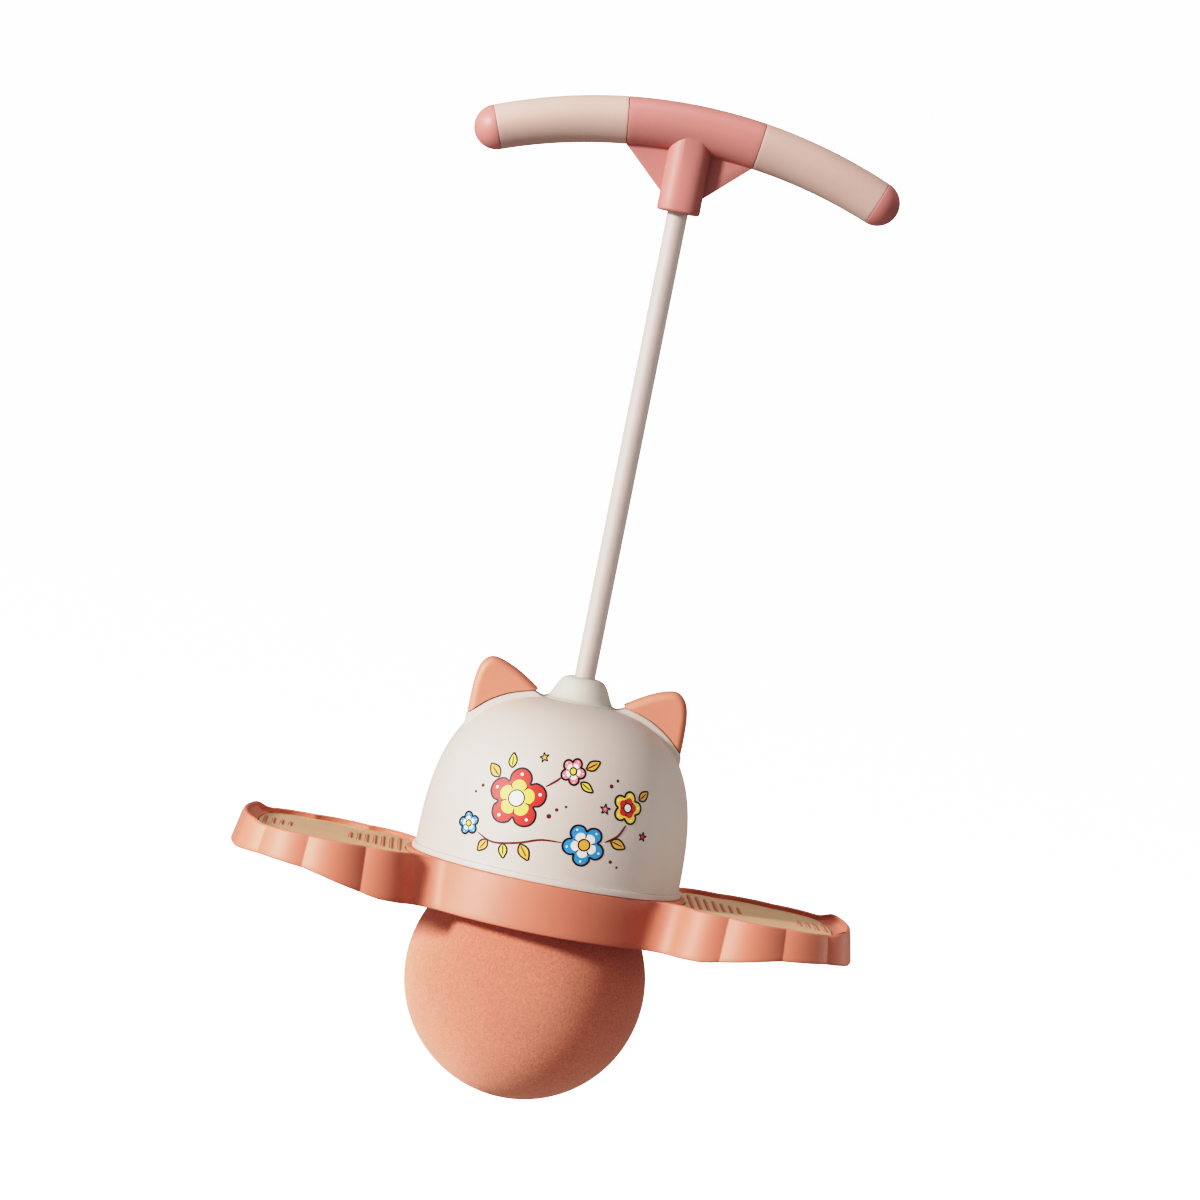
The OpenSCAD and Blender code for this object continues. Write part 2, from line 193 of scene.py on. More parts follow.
def corner(p, q, s, r, n=5):
    """Points that round the corner q of the profile p-q-s with radius r."""
    p, q, s = (np.array(t, float) for t in (p, q, s))
    u, w = (p - q) / np.linalg.norm(p - q), (s - q) / np.linalg.norm(s - q)
    half = math.acos(max(-1, min(1, float(u @ w)))) / 2
    d = r / math.tan(half)
    c = q + (u + w) / np.linalg.norm(u + w) * r / math.sin(half)
    a, b = q + u * d - c, q + w * d - c
    out = []
    total = math.acos(max(-1, min(1, float(a @ b) / (r * r))))
    for i in range(n):
        t = i / (n - 1)
        v = (math.sin((1 - t) * total) * a + math.sin(t * total) * b) / math.sin(total)
        out.append(tuple(c + v))
    return out


def smooth_curve(points, per=6, closed=False):
    """Catmull-Rom curve through the given points."""
    p = np.array(points, float)
    n = len(p)
    out = []
    spans = n if closed else n - 1
    for i in range(spans):
        get = lambda k: p[k % n] if closed else p[max(0, min(n - 1, k))]
        a, b, c, d = get(i - 1), get(i), get(i + 1), get(i + 2)
        for t in np.linspace(0, 1, per, endpoint=False):
            out.append(0.5 * ((2 * b) + (c - a) * t + (2 * a - 5 * b + 4 * c - d) * t * t + (3 * b - a - 3 * c + d) * t ** 3))
    if not closed:
        out.append(p[-1])
    return np.array(out)


def step(x, lo, hi):
    t = np.clip((np.asarray(x, float) - lo) / (hi - lo), 0, 1)
    return t * t * (3 - 2 * t)


# ------------------------------------------------------------------ materials


def lin(r, g, b):
    f = lambda c: c / 12.92 if c <= 0.04045 else ((c + 0.055) / 1.055) ** 2.4
    return tuple(f(c / 255) for c in (r, g, b))


def surface(name, colour, rough=0.45, spread=0.06, blotch=26, mottle=0.05, grain=2400, bump=0.10, depth=0.03,
            rough_spread=0.10, diffuse=0.0, specular=0.5, metallic=0.0, sheen=0.0, coat=0.0, coat_rough=0.3, subsurface=0.0, speck=0.0,
            speck_scale=900):
    """Procedural finish: a slow drift of tone, an even grain that sets gloss and relief, and specks if asked."""
    mat = bpy.data.materials.new(name)
    mat.use_nodes = True
    t = mat.node_tree
    t.nodes.clear()
    new, wire = t.nodes.new, t.links.new
    out = new("ShaderNodeOutputMaterial")
    b = new("ShaderNodeBsdfPrincipled")
    wire(b.outputs["BSDF"], out.inputs["Surface"])
    at = new("ShaderNodeTexCoord")
    slow = new("ShaderNodeTexNoise")
    slow.inputs["Scale"].default_value = blotch
    slow.inputs["Detail"].default_value = 3.0
    slow.inputs["Roughness"].default_value = 0.55
    wire(at.outputs["Object"], slow.inputs["Vector"])
    ramp = new("ShaderNodeValToRGB")
    ramp.color_ramp.elements[0].position = 0.30
    ramp.color_ramp.elements[1].position = 0.70
    ramp.color_ramp.elements[0].color = (*[c * (1 - spread) for c in colour], 1)
    ramp.color_ramp.elements[1].color = (*[min(1, c * (1 + spread * 0.6)) for c in colour], 1)
    wire(slow.outputs["Fac"], ramp.inputs["Fac"])
    fine = new("ShaderNodeTexNoise")
    fine.inputs["Scale"].default_value = grain
    fine.inputs["Detail"].default_value = 2.5
    fine.inputs["Roughness"].default_value = 0.6
    wire(at.outputs["Object"], fine.inputs["Vector"])
    tone = ramp.outputs["Color"]
    if speck > 0:
        dots = new("ShaderNodeTexNoise")
        dots.inputs["Scale"].default_value = speck_scale
        dots.inputs["Detail"].default_value = 5.0
        dots.inputs["Roughness"].default_value = 0.72
        wire(at.outputs["Object"], dots.inputs["Vector"])
        pick = new("ShaderNodeValToRGB")
        pick.color_ramp.elements[0].position = 0.34
        pick.color_ramp.elements[1].position = 0.66
        pick.color_ramp.elements[0].color = (1 - speck, 1 - speck, 1 - speck, 1)
        pick.color_ramp.elements[1].color = (1 + speck * 0.5, 1 + speck * 0.5, 1 + speck * 0.5, 1)
        wire(dots.outputs["Fac"], pick.inputs["Fac"])
        mul = new("ShaderNodeMix")
        mul.data_type = "RGBA"
        mul.blend_type = "MULTIPLY"
        mul.inputs["Factor"].default_value = 1.0
        wire(tone, mul.inputs["A"])
        wire(pick.outputs["Color"], mul.inputs["B"])
        tone = mul.outputs["Result"]
    if mottle > 0:
        shade = new("ShaderNodeValToRGB")
        shade.color_ramp.elements[0].position = 0.25
        shade.color_ramp.elements[1].position = 0.75
        shade.color_ramp.elements[0].color = (1 - mottle, 1 - mottle, 1 - mottle, 1)
        shade.color_ramp.elements[1].color = (1, 1, 1, 1)
        wire(fine.outputs["Fac"], shade.inputs["Fac"])
        mix = new("ShaderNodeMix")
        mix.data_type = "RGBA"
        mix.blend_type = "MULTIPLY"
        mix.inputs["Factor"].default_value = 1.0
        wire(tone, mix.inputs["A"])
        wire(shade.outputs["Color"], mix.inputs["B"])
        tone = mix.outputs["Result"]
    wire(tone, b.inputs["Base Color"])
    gloss = new("ShaderNodeMapRange")
    gloss.inputs["From Min"].default_value = 0.3
    gloss.inputs["From Max"].default_value = 0.7
    gloss.inputs["To Min"].default_value = max(0.02, rough - rough_spread / 2)
    gloss.inputs["To Max"].default_value = min(1.0, rough + rough_spread / 2)
    wire(fine.outputs["Fac"], gloss.inputs["Value"])
    wire(gloss.outputs["Result"], b.inputs["Roughness"])
    relief = new("ShaderNodeBump")
    relief.inputs["Strength"].default_value = bump
    relief.inputs["Distance"].default_value = depth * MM
    wire(fine.outputs["Fac"], relief.inputs["Height"])
    wire(relief.outputs["Normal"], b.inputs["Normal"])
    b.inputs["Diffuse Roughness"].default_value = diffuse
    b.inputs["Specular IOR Level"].default_value = specular
    b.inputs["Metallic"].default_value = metallic
    b.inputs["Sheen Weight"].default_value = sheen
    b.inputs["Sheen Roughness"].default_value = 0.6
    b.inputs["Coat Weight"].default_value = coat
    b.inputs["Coat Roughness"].default_value = coat_rough
    b.inputs["Subsurface Weight"].default_value = subsurface
    if subsurface > 0:
        b.inputs["Subsurface Radius"].default_value = (0.004, 0.0016, 0.001)
        b.inputs["Subsurface Scale"].default_value = 1.0
    return mat


def dress(ob, mat):
    ob.data.materials.clear()
    ob.data.materials.append(mat)
    return ob


PINK = surface("pink_plastic", (0.545, 0.238, 0.218), rough=0.50, spread=0.03, grain=2600, bump=0.12)
CREAM = surface("cream_grip", (0.558, 0.400, 0.357), rough=0.66, spread=0.03, grain=1500, bump=0.30, depth=0.06, mottle=0.06)
ROD = surface("rod_sleeve", (0.595, 0.513, 0.480), rough=0.50, spread=0.03, grain=1800, bump=0.12)
DOME = surface("dome_plastic", (0.655, 0.580, 0.530), rough=0.55, spread=0.02, grain=2600, bump=0.10)
BOSS = surface("grommet_rubber", (0.62, 0.585, 0.53), rough=0.60, spread=0.03, grain=2000, bump=0.16)
EAR = surface("ear_plastic", (0.80, 0.330, 0.238), rough=0.55, spread=0.03, grain=2400, bump=0.14)
BODY = surface("platform_plastic", (0.590, 0.222, 0.158), rough=0.54, spread=0.04, grain=2400, bump=0.12)
PAD = surface("pad_tan", (0.68, 0.452, 0.292), rough=0.66, spread=0.05, blotch=40, grain=1600, bump=0.35, depth=0.08, mottle=0.10)
BALL = surface("ball_rubber", (0.86, 0.388, 0.285), rough=0.92, spread=0.05, blotch=18, grain=900, bump=0.9, depth=0.35,
               mottle=0.16, rough_spread=0.08, diffuse=1.0, specular=0.25, sheen=0.10, speck=0.20, speck_scale=700)
VALVE = surface("valve_rubber", lin(196, 120, 98), rough=0.65, grain=1800, bump=0.2)
PLUG = surface("plug_plastic", lin(232, 214, 202), rough=0.5, grain=2200, bump=0.15)
ZINC = surface("zinc_steel", (0.55, 0.56, 0.58), rough=0.34, metallic=1.0, spread=0.12, blotch=120, grain=3200, bump=0.18, mottle=0.10)
SPRING = surface("spring_steel", (0.34, 0.34, 0.36), rough=0.30, metallic=1.0, spread=0.15, blotch=160, grain=3200, bump=0.15, mottle=0.10)
INKS = {
    "dark": surface("ink_dark", lin(34, 26, 26), rough=0.5, grain=2600),
    "red": surface("ink_red", lin(222, 64, 58), rough=0.5, grain=2600),
    "yellow": surface("ink_yellow", lin(248, 222, 104), rough=0.5, grain=2600),
    "blue": surface("ink_blue", lin(84, 158, 218), rough=0.5, grain=2600),
    "white": surface("ink_white", lin(250, 247, 240), rough=0.5, grain=2600),
    "pink": surface("ink_pink", lin(246, 146, 158), rough=0.5, grain=2600),
    "gold": surface("ink_gold", lin(240, 184, 96), rough=0.5, grain=2600),
    "brown": surface("ink_brown", lin(112, 52, 48), rough=0.5, grain=2600),
}

for name, mat in {
    "handle_core_tube": ZINC, "handle_screws": ZINC, "rod_top_plug": PLUG, "rod_foot_stud": ZINC, "anchor_washer": ZINC,
    "anchor_nut": ZINC, "ear_screws": ZINC, "dome_screws": ZINC, "pad_screws": ZINC, "ball_ring": BODY, "ring_screws": ZINC,
    "valve_body": VALVE, "valve_plug": PLUG, "rod_core": SPRING,
}.items():
    dress(NODE[name], mat)


def place(ob, mat, body, slot, *nodes):
    """Finishes a piece: gives it its material, attaches it to the body it rides on and hides the nodes it stands for.
    The slot argument is not used.
    """
    dress(ob, mat)
    if body:
        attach(ob, body)
    if nodes:
        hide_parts(*nodes)
    return ob


# ------------------------------------------------------------------ platform plan

RIM, SEAT, BAND = 153.4, 152.4, 120.0
PAD_Z, BED_Z, DECK_LOW = 150.2, 147.35, 144.55
TIP_C, TIP_R = (-104.8, 0.0), 310.0
LOBES = [(114.0, 54.5, 25.0, 34), (140.0, 55.0, 31.0, 30), (161.4, 51.0, 29.6, 26), (176.6, 42.85, 26.0, 18)]
NOTCH, CREASE, TURN = 16.0, 1.3, 3.4
LIP = 3.1


def lean(z):
    return 7.0 * (RIM - z) / 33.4


def meet(c1, r1, c2, r2, near):
    c1, c2 = np.array(c1, float), np.array(c2, float)
    d = c2 - c1
    length = np.linalg.norm(d)
    a = (r1 * r1 - r2 * r2 + length * length) / (2 * length)
    h = math.sqrt(max(r1 * r1 - a * a, 0))
    m, n = c1 + d * a / length, np.array([-d[1], d[0]]) / length
    return min((m + n * h, m - n * h), key=lambda p: np.linalg.norm(p - near))


def trace(arcs, joins, start, end):
    """Outline of arcs (centre, radius, side, count) with rounded joins (radius, convex, near, count), walked clockwise.
    side is 1 where the region lies inside the circle. Gives points, outward normals and the arc number of each point."""
    cuts = []
    for (c1, r1, s1, _), (c2, r2, s2, _), (rho, convex, near, _) in zip(arcs, arcs[1:], joins):
        g = -rho if convex else rho
        f = meet(c1, r1 + s1 * g, c2, r2 + s2 * g, np.array(near, float))
        ta = np.array(c1) + (f - c1) / np.linalg.norm(f - c1) * r1
        tb = np.array(c2) + (f - c2) / np.linalg.norm(f - c2) * r2
        cuts.append((f, ta, tb))
    pts, nrm, tag = [], [], []

    def sweep(c, r, a0, a1, down, n, sign, label, ends):
        if down and a1 > a0:
            a1 -= 2 * math.pi
        if not down and a1 < a0:
            a1 += 2 * math.pi
        if abs(a1 - a0) > math.pi * 1.5:
            a1 = a0 + (-1e-4 if down else 1e-4)
        for i in range(n):
            t = i / (n - 1) if ends else (i + 1) / (n + 1)
            a = a0 + (a1 - a0) * t
            u = np.array([math.cos(a), math.sin(a)])
            pts.append(np.array(c) + u * r)
            nrm.append(u * sign)
            tag.append(label + t * 0.999)

    angle = lambda p, c: math.atan2(p[1] - c[1], p[0] - c[0])
    for i, (c, r, side, n) in enumerate(arcs):
        a0 = start if i == 0 else angle(cuts[i - 1][2], c)
        a1 = end if i == len(arcs) - 1 else angle(cuts[i][1], c)
        sweep(c, r, a0, a1, side > 0, n, side, 2 * i, True)
        if i < len(arcs) - 1:
            rho, convex, _, m = joins[i]
            f, ta, tb = cuts[i]
            sweep(f, rho, angle(ta, f), angle(tb, f), convex, m, 1 if convex else -1, 2 * i + 1, False)
    return np.array(pts), np.array(nrm), np.array(tag)


def plan(z, inset=0.0, tip_inset=None, turn=None, lobes=4):
    """A quarter of the platform's outline at height z, from the front of the band to the middle of the tip."""
    g = lean(z) - inset
    ti = inset if tip_inset is None else tip_inset
    arcs = [((0, 0), 90.6 + 0.15 * (SEAT - z) - inset, 1, 36)]
    arcs += [((x, y), r + g, 1, n) for x, y, r, n in LOBES[:lobes]]
    arcs += [(TIP_C, TIP_R + lean(z) - ti, 1, 26)]
    joins = [(NOTCH + inset, False, (77.5, 73.2), 24), (CREASE + inset, False, (121, 78.6), 6), (CREASE + inset, False, (157.8, 80.4), 6),
             (CREASE + inset, False, (186.8, 66.2), 6)][:lobes]
    joins += [(max(TURN - inset, 0.4) if turn is None else turn, True, (199.9 - ti, 51.5 if lobes == 4 else 64.0), 6)]
    return trace(arcs, joins, math.pi / 2, 0.0)


Q0, QN, QT = plan(RIM)
J = len(Q0)
# the whole outline from the quarter: index into the quarter and the signs of x and y
IDX = np.concatenate([np.arange(J), np.arange(J - 2, -1, -1), np.arange(1, J), np.arange(J - 2, 0, -1)])
SX = np.concatenate([np.ones(J), np.ones(J - 1), -np.ones(J - 1), -np.ones(J - 2)])
SY = np.concatenate([np.ones(J), -np.ones(J - 1), -np.ones(J - 1), np.ones(J - 2)])
LEVELS = np.arange(114.0, 162.1, 2.0)
OUTER = np.array([plan(z)[0] for z in LEVELS])
NORMAL = np.array([plan(z)[1] for z in LEVELS])


def outer(z, inset=0.0):
    """Quarter outline with a height for each point, drawn in along its normal."""
    z = np.broadcast_to(np.asarray(z, float), (J,))
    k = np.clip((z - LEVELS[0]) / 2.0, 0, len(LEVELS) - 1.001)
    i, t = k.astype(int), (k % 1.0)[:, None]
    j = np.arange(J)
    p = OUTER[i, j] * (1 - t) + OUTER[i + 1, j] * t
    n = NORMAL[i, j] * (1 - t) + NORMAL[i + 1, j] * t
    n /= np.linalg.norm(n, axis=1)[:, None]
    return p - n * np.broadcast_to(np.asarray(inset, float), (J,))[:, None]


def whole(xy, z):
    z = np.broadcast_to(np.asarray(z, float), (J,))
    return np.column_stack([xy[IDX, 0] * SX, xy[IDX, 1] * SY, z[IDX]])


def low_edge(x):
    return np.interp(np.abs(x), [0, 70, 92, 106, 114, 121, 146, 158, 172, 186, 230], [120.0, 120.3, 120.8, 121.5, 122.8, 124.5, 130.0, 132.2, 133.5, 134.4, 134.8])


wing_w = np.where(QT < 1, 0.0, np.where(QT < 2, step(QT, 1.2, 1.9), 1.0))
# lift of the rim: full along the tip and its corners, fading along the last lobe
lift = LIP * np.where(QT >= 9, 1.0, np.where(QT >= 8, step(QT, 8.10, 8.98), 0.0))
top = SEAT + wing_w * (RIM - SEAT) + lift
bottom = np.full(J, 126.0)
for _ in range(12):
    bottom = low_edge(outer(bottom)[:, 0])


# slots of a foot pad: distance from the middle, shift to the back, straight length
PAD_SLOTS = [(98.6 + 5.5 * i, 11.5, 82 - 7.7 * i) for i in range(7)] + [(172.2 + 5.6 * i, 6, l) for i, l in enumerate((26, 30, 38, 44))]


def stadium(x, y, length, width, n=7):
    """Outline of a straight slot along y."""
    r, h = width / 2, length / 2
    a = np.linspace(0, math.pi, n)
    top_ = np.column_stack([x + r * np.cos(a), y + h + r * np.sin(a)])
    low_ = np.column_stack([x - r * np.cos(a), y - h - r * np.sin(a)])
    return np.vstack([top_, low_])


def platform():
    s = Shell()
    f = 1.4
    loops = []
    tipw = step(QT, 8.9, 9.6)
    bed = lambda z, inset, ti, turn: plan(z, inset, ti, turn)[0]
    loops.append(whole(bed(149, 3.0, 12.2, 1.0), BED_Z))
    loops.append(whole(bed(150, 3.0, 12.2, 1.0), PAD_Z - 0.3))
    steps = 7
    for i in range(1, steps + 1):
        a = math.pi / 2 * i / steps
        ti = 12.2 - 8.2 * math.sin(a)
        zt = PAD_Z - 0.3 + (RIM + LIP - f - PAD_Z + 0.3) * (1 - math.cos(a))
        zl = PAD_Z - 0.3 + (top - f - PAD_Z + 0.3) * i / steps
        loops.append(whole(bed(151.5, 3.0, ti, 1.0 - 0.6 * i / steps), zl + (zt - zl) * tipw))
    for i in range(1, 5):
        a = math.pi / 2 * i / 4
        inset, ti = 3.0 - f * (1 - math.cos(a)), 4.0 - f * (1 - math.cos(a))
        loops.append(whole(bed(153.4, inset, ti, 0.4 + 0.25 * i), top - f + f * math.sin(a)))
    for i in range(0, 5):
        a = math.pi / 2 * i / 4
        loops.append(whole(outer(top, f * (1 - math.sin(a))), top - f * (1 - math.cos(a))))
    rows = 9
    for i in range(1, rows):
        z = top - f + (bottom + 1.0 - top + f) * i / rows
        loops.append(whole(outer(z), z))
    for i in range(0, 5):
        a = math.pi / 2 * i / 4
        loops.append(whole(outer(bottom + 1.0, 1.0 * (1 - math.cos(a))), bottom + 1.0 - math.sin(a)))
    for i in range(0, 4):
        a = math.pi / 2 * i / 3
        loops.append(whole(outer(bottom + 0.7, 2.9 - 0.7 * (1 - math.sin(a))), bottom + 0.7 * (1 - math.cos(a))))
    for t in (0.33, 0.66, 1.0):
        z = bottom + 0.7 + (DECK_LOW - bottom - 0.7) * t
        loops.append(whole(outer(z, 2.9), z))
    ids = [s.loop(l) for l in loops]
    for a, b in zip(ids, ids[1:]):
        s.join(a, b)
    n = 192
    collar = [(71.7, DECK_LOW), (71.7, 130), (71.7, 121.9), (71.4, 121.2), (70.9, 121.0), (70.4, 121.1), (66.9, 126.4), (66.7, 127.2),
              (66.7, 138), (66.7, BED_Z)]
    rings = [s.loop(ring(r, z, n)) for r, z in collar]
    for a, b in zip(rings, rings[1:]):
        s.join(a, b)
    s.fill(ids[-1], [rings[0]])
    s.fill(ids[0], [rings[-1]])
    ob = s.piece("platform_moulding", 30)
    # seat of the dome, standing above the beds
    seat = lathe("seat", [(85.2, BED_Z - 0.5), (85.2, SEAT - 0.3), (85.5, SEAT - 0.02), (89.8, SEAT - 0.02), (90.1, SEAT - 0.3), (90.1, BED_Z - 0.5)],
                 192, closed=True)
    boolean(ob, seat, "UNION", 30)
    for side in (1, -1):
        for x, y, length in PAD_SLOTS:
            bar = Shell()
            loops_ = []
            for grow, z in ((0.0, BED_Z - 0.4), (0.0, PAD_Z), (-0.08, PAD_Z + 0.25), (-0.28, PAD_Z + 0.46), (-0.55, PAD_Z + 0.58)):
                o = stadium(x, y, length, 1.9 + 2 * grow)
                loops_.append(bar.loop(np.column_stack([o * [side, 1], np.full(len(o), z)])))
            for a, b in zip(loops_, loops_[1:]):
                bar.join(a, b)
            bar.fill(loops_[0], [])
            bar.fill(loops_[-1], [])
            boolean(ob, bar.piece("bar", 30), "UNION", 30)
        boolean(ob, curb(side), "UNION", 30)
    return ob


def curb(side, half=42.0, n=90):
    """Low wall between a foot pad and the foot of the dome, drawn in where the notch cuts across it."""
    s = Shell()
    edge = Q0[(QT >= 1) & (QT < 2)]
    turn = np.arctan2(edge[:, 1], edge[:, 0])
    reach = np.hypot(edge[:, 0], edge[:, 1])
    order = np.argsort(turn)
    loops = []
    for a in np.radians(np.linspace(-half, half, n)):
        free = np.interp(abs(a), turn[order], reach[order]) if abs(a) > turn[order][0] else 200.0
        r = min(94.1, free - 1.0)
        section = [(86.0, BED_Z - 0.5), (86.0, SEAT - 0.02), (r - 0.6, SEAT - 0.02), (r - 0.2, SEAT - 0.14), (r, SEAT - 0.5), (r, BED_Z - 0.5)]
        loops.append(s.loop([(side * q * math.cos(a), q * math.sin(a), z) for q, z in section]))
    for a, b in zip(loops, loops[1:]):
        s.join(a, b)
    s.f.append(tuple(loops[0]))
    s.f.append(tuple(loops[-1]))
    return s.piece("curb", 30)


def reach_y(x, z):
    """How far the outline reaches in y at this x and height."""
    p = outer(z)
    best = 0.0
    for a, b in zip(p, p[1:]):
        if (a[0] - x) * (b[0] - x) <= 0 and a[0] != b[0]:
            t = (x - a[0]) / (b[0] - a[0])
            best = max(best, a[1] + (b[1] - a[1]) * t)
    return best


def reach_x(y, z):
    p = outer(z)
    best = 0.0
    for a, b in zip(p, p[1:]):
        if (a[1] - y) * (b[1] - y) <= 0 and a[1] != b[1]:
            t = (y - a[1]) / (b[1] - a[1])
            best = max(best, a[0] + (b[0] - a[0]) * t)
    return best


def rib(sections, thick, across):
    """Rib from (point at its root, point at its free edge, lowest z, highest z) sections, thinner at the free edge."""
    s = Shell()
    across = np.array(across, float)
    loops = []
    for root, free, zb, zt in sections:
        h, e = thick / 2, thick / 2 - 0.45
        pts = []
        for c, d, z in ((root, -h, zt), (free, -h, zb + 0.6), (free, -e, zb), (free, e, zb), (free, h, zb + 0.6), (root, h, zt)):
            q = np.array(c) + across * d
            pts.append((q[0], q[1], z))
        loops.append(s.loop(pts))
    for a, b in zip(loops, loops[1:]):
        s.join(a, b)
    s.f.append(tuple(loops[0]))
    s.f.append(tuple(loops[-1]))
    return s.piece("rib", 30)


def ribs(ob):
    up = DECK_LOW + 0.6
    for side in (1, -1):
        for x in (112, 136, 160, 184):
            zb = float(low_edge(x)) + 1.6
            root, free = reach_y(x, up) - 1.6, reach_y(x, zb) - 1.6
            run = [((side * x, t * root), (side * x, t * free), zb, up) for t in (-1, -0.5, 0, 0.5, 1)]
            boolean(ob, rib(run, 2.0, (1, 0)), "UNION", 30)
        for y in (-52, -18, 18, 52):
            ends = [(x, x) for x in (86, 98, 112, 136, 160, 172)]
            ends.append((reach_x(abs(y), up) - 1.6, reach_x(abs(y), 136.4) - 1.6))
            run = [((side * a, y), (side * b, y), float(low_edge(b)) + 1.8, up) for a, b in ends]
            boolean(ob, rib(run, 2.0, (0, 1)), "UNION", 30)
    for i in range(16):
        a = math.radians(i * 22.5 + 11.25)
        u = np.array([math.cos(a), math.sin(a)])
        ends = [(70.4, 70.4), (78, 78), (90.2, 93.4) if abs(u[0]) < 0.72 else (88.0, 88.0)]
        run = [(tuple(u * r), tuple(u * q), BAND + 1.8, up) for r, q in ends]
        boolean(ob, rib(run, 2.0, (-u[1], u[0])), "UNION", 30)


PLATFORM = platform()
ribs(PLATFORM)
place(PLATFORM, BODY, "base", "platform_salmon", "platform_frame")


# ------------------------------------------------------------------ foot pads


def trail(points, width, n=5):
    """Outline of a slot along a bent line, with round ends."""
    p = np.array(points, float)
    d = np.gradient(p, axis=0)
    d /= np.linalg.norm(d, axis=1)[:, None]
    nrm = np.column_stack([-d[:, 1], d[:, 0]])
    r = width / 2
    left, right = p + nrm * r, p - nrm * r
    cap = []
    for c, t, m in ((p[-1], d[-1], nrm[-1]), (p[0], -d[0], -nrm[0])):
        a = np.linspace(0, math.pi, n + 2)[1:-1]
        cap.append(np.array([c + m * r * math.cos(x) + t * r * math.sin(x) for x in a]))
    return np.vstack([left, cap[0], right[::-1], cap[1]])


def pad_half(inset):
    q, _, tag = plan(150, inset, 12.7 + inset - 3.5, 2.6, 3)
    return q, tag


PAD_Q, PAD_T = pad_half(3.5)
# the pad's edge leaves the curb round the dome where the hollow of the notch clears it
PAD_KEEP = (PAD_T >= 1.0) & (np.linalg.norm(PAD_Q, axis=1) > 95.6) & ~((PAD_T > 6.9) & (PAD_T < 8.06))


def pad_plan(inset):
    half = pad_half(inset)[0][PAD_KEEP]
    r_in = 94.6 + (inset - 3.5)
    a1 = math.atan2(half[0][1], half[0][0])
    inner = np.array([[r_in * math.cos(a), r_in * math.sin(a)] for a in np.linspace(0, a1 - 0.012, 20)])
    up = np.vstack([inner, half])
    down = up[1:-1][::-1] * [1, -1]
    return np.vstack([up, down])


def foot_pad(side):
    s = Shell()
    b = 0.45
    edge = [(3.5, BED_Z + 0.05), (3.5, PAD_Z - b), (3.5 + b * 0.3, PAD_Z - b * 0.3), (3.5 + b, PAD_Z), (3.5 + b + 0.5, PAD_Z)]
    flip = np.array([side, 1])
    rim = [s.loop(np.column_stack([pad_plan(d) * flip, np.full(len(pad_plan(d)), z)])) for d, z in edge]
    for p, q in zip(rim, rim[1:]):
        s.join(p, q)
    tops, lows = [], []
    for x, y, length in PAD_SLOTS:
        ids = []
        for grow, z in ((0.5, PAD_Z), (0.25, PAD_Z), (0.07, PAD_Z - 0.09), (0.0, PAD_Z - 0.3), (0.0, BED_Z + 0.05)):
            o = stadium(x, y, length, 2.2 + 2 * grow)
            ids.append(s.loop(np.column_stack([o * flip, np.full(len(o), z)])))
        for p, q in zip(ids, ids[1:]):
            s.join(p, q)
        tops.append(ids[0])
        lows.append(ids[-1])
    # shallow contour lines that echo the scalloped edge
    for d, lo, hi in ((9.5, 2.6, 7.2), (17.0, 3.1, 6.8)):
        q, _, tag = plan(150, d, d, 2.0)
        keep = (tag > lo) & (tag < hi)
        line = smooth_curve(q[keep][::3], 3)
        for sy in (1, -1):
            ids = []
            for grow, z in ((0.35, PAD_Z), (0.12, PAD_Z), (0.0, PAD_Z - 0.18), (-0.2, PAD_Z - 0.42)):
                o = trail(line * [1, sy], 1.3 + 2 * grow)
                ids.append(s.loop(np.column_stack([o * flip, np.full(len(o), z)])))
            for p, q2 in zip(ids, ids[1:]):
                s.join(p, q2)
            s.fill(ids[-1], [])
            tops.append(ids[0])
    s.fill(rim[-1], tops)
    s.fill(rim[0], lows)
    return s.piece("tan_pad_right" if side > 0 else "tan_pad_left", 30)


place(foot_pad(1), PAD, "base", "pad_tan", "foot_pad_right")
place(foot_pad(-1), PAD, "base", "pad_tan", "foot_pad_left")


# ------------------------------------------------------------------ dome and ears

DOME_R, DOME_H, DOME_N, DOME_Z, CAP_Z = 88.8, 115.7, 2.85, 152.4, 267.0


def dome_r(z, out=0.0):
    q = np.clip((np.asarray(z, float) - DOME_Z) / (DOME_H + out), 0, 1)
    return (DOME_R + out) * (1 - q ** DOME_N) ** (1 / DOME_N)


def dome_top(r, out=0.0):
    t = np.clip(np.asarray(r, float) / (DOME_R + out), 0, 1)
    return DOME_Z + (DOME_H + out) * (1 - t ** DOME_N) ** (1 / DOME_N)


def dome_points(out=0.0, rows=150):
    """Evenly spaced points of the dome's profile, from the flange to the seat of the grommet."""
    q = np.sin(np.linspace(0, math.pi / 2, 3000))
    z = DOME_Z + (DOME_H + out) * q
    r = dome_r(z, out)
    keep = (r > 25.0) & (z > DOME_Z + 5.0)
    r, z = r[keep], z[keep]
    s = np.concatenate([[0], np.cumsum(np.hypot(np.diff(r), np.diff(z)))])
    # finer rows where the pedestals of the ears rise
    w = 1.0 + 2.6 * step(z, 226, 236)
    c = np.concatenate([[0], np.cumsum((w[1:] + w[:-1]) / 2 * np.diff(s))])
    at = np.interp(np.linspace(0, c[-1], rows), c, s)
    return np.column_stack([np.interp(at, s, r), np.interp(at, s, z)])


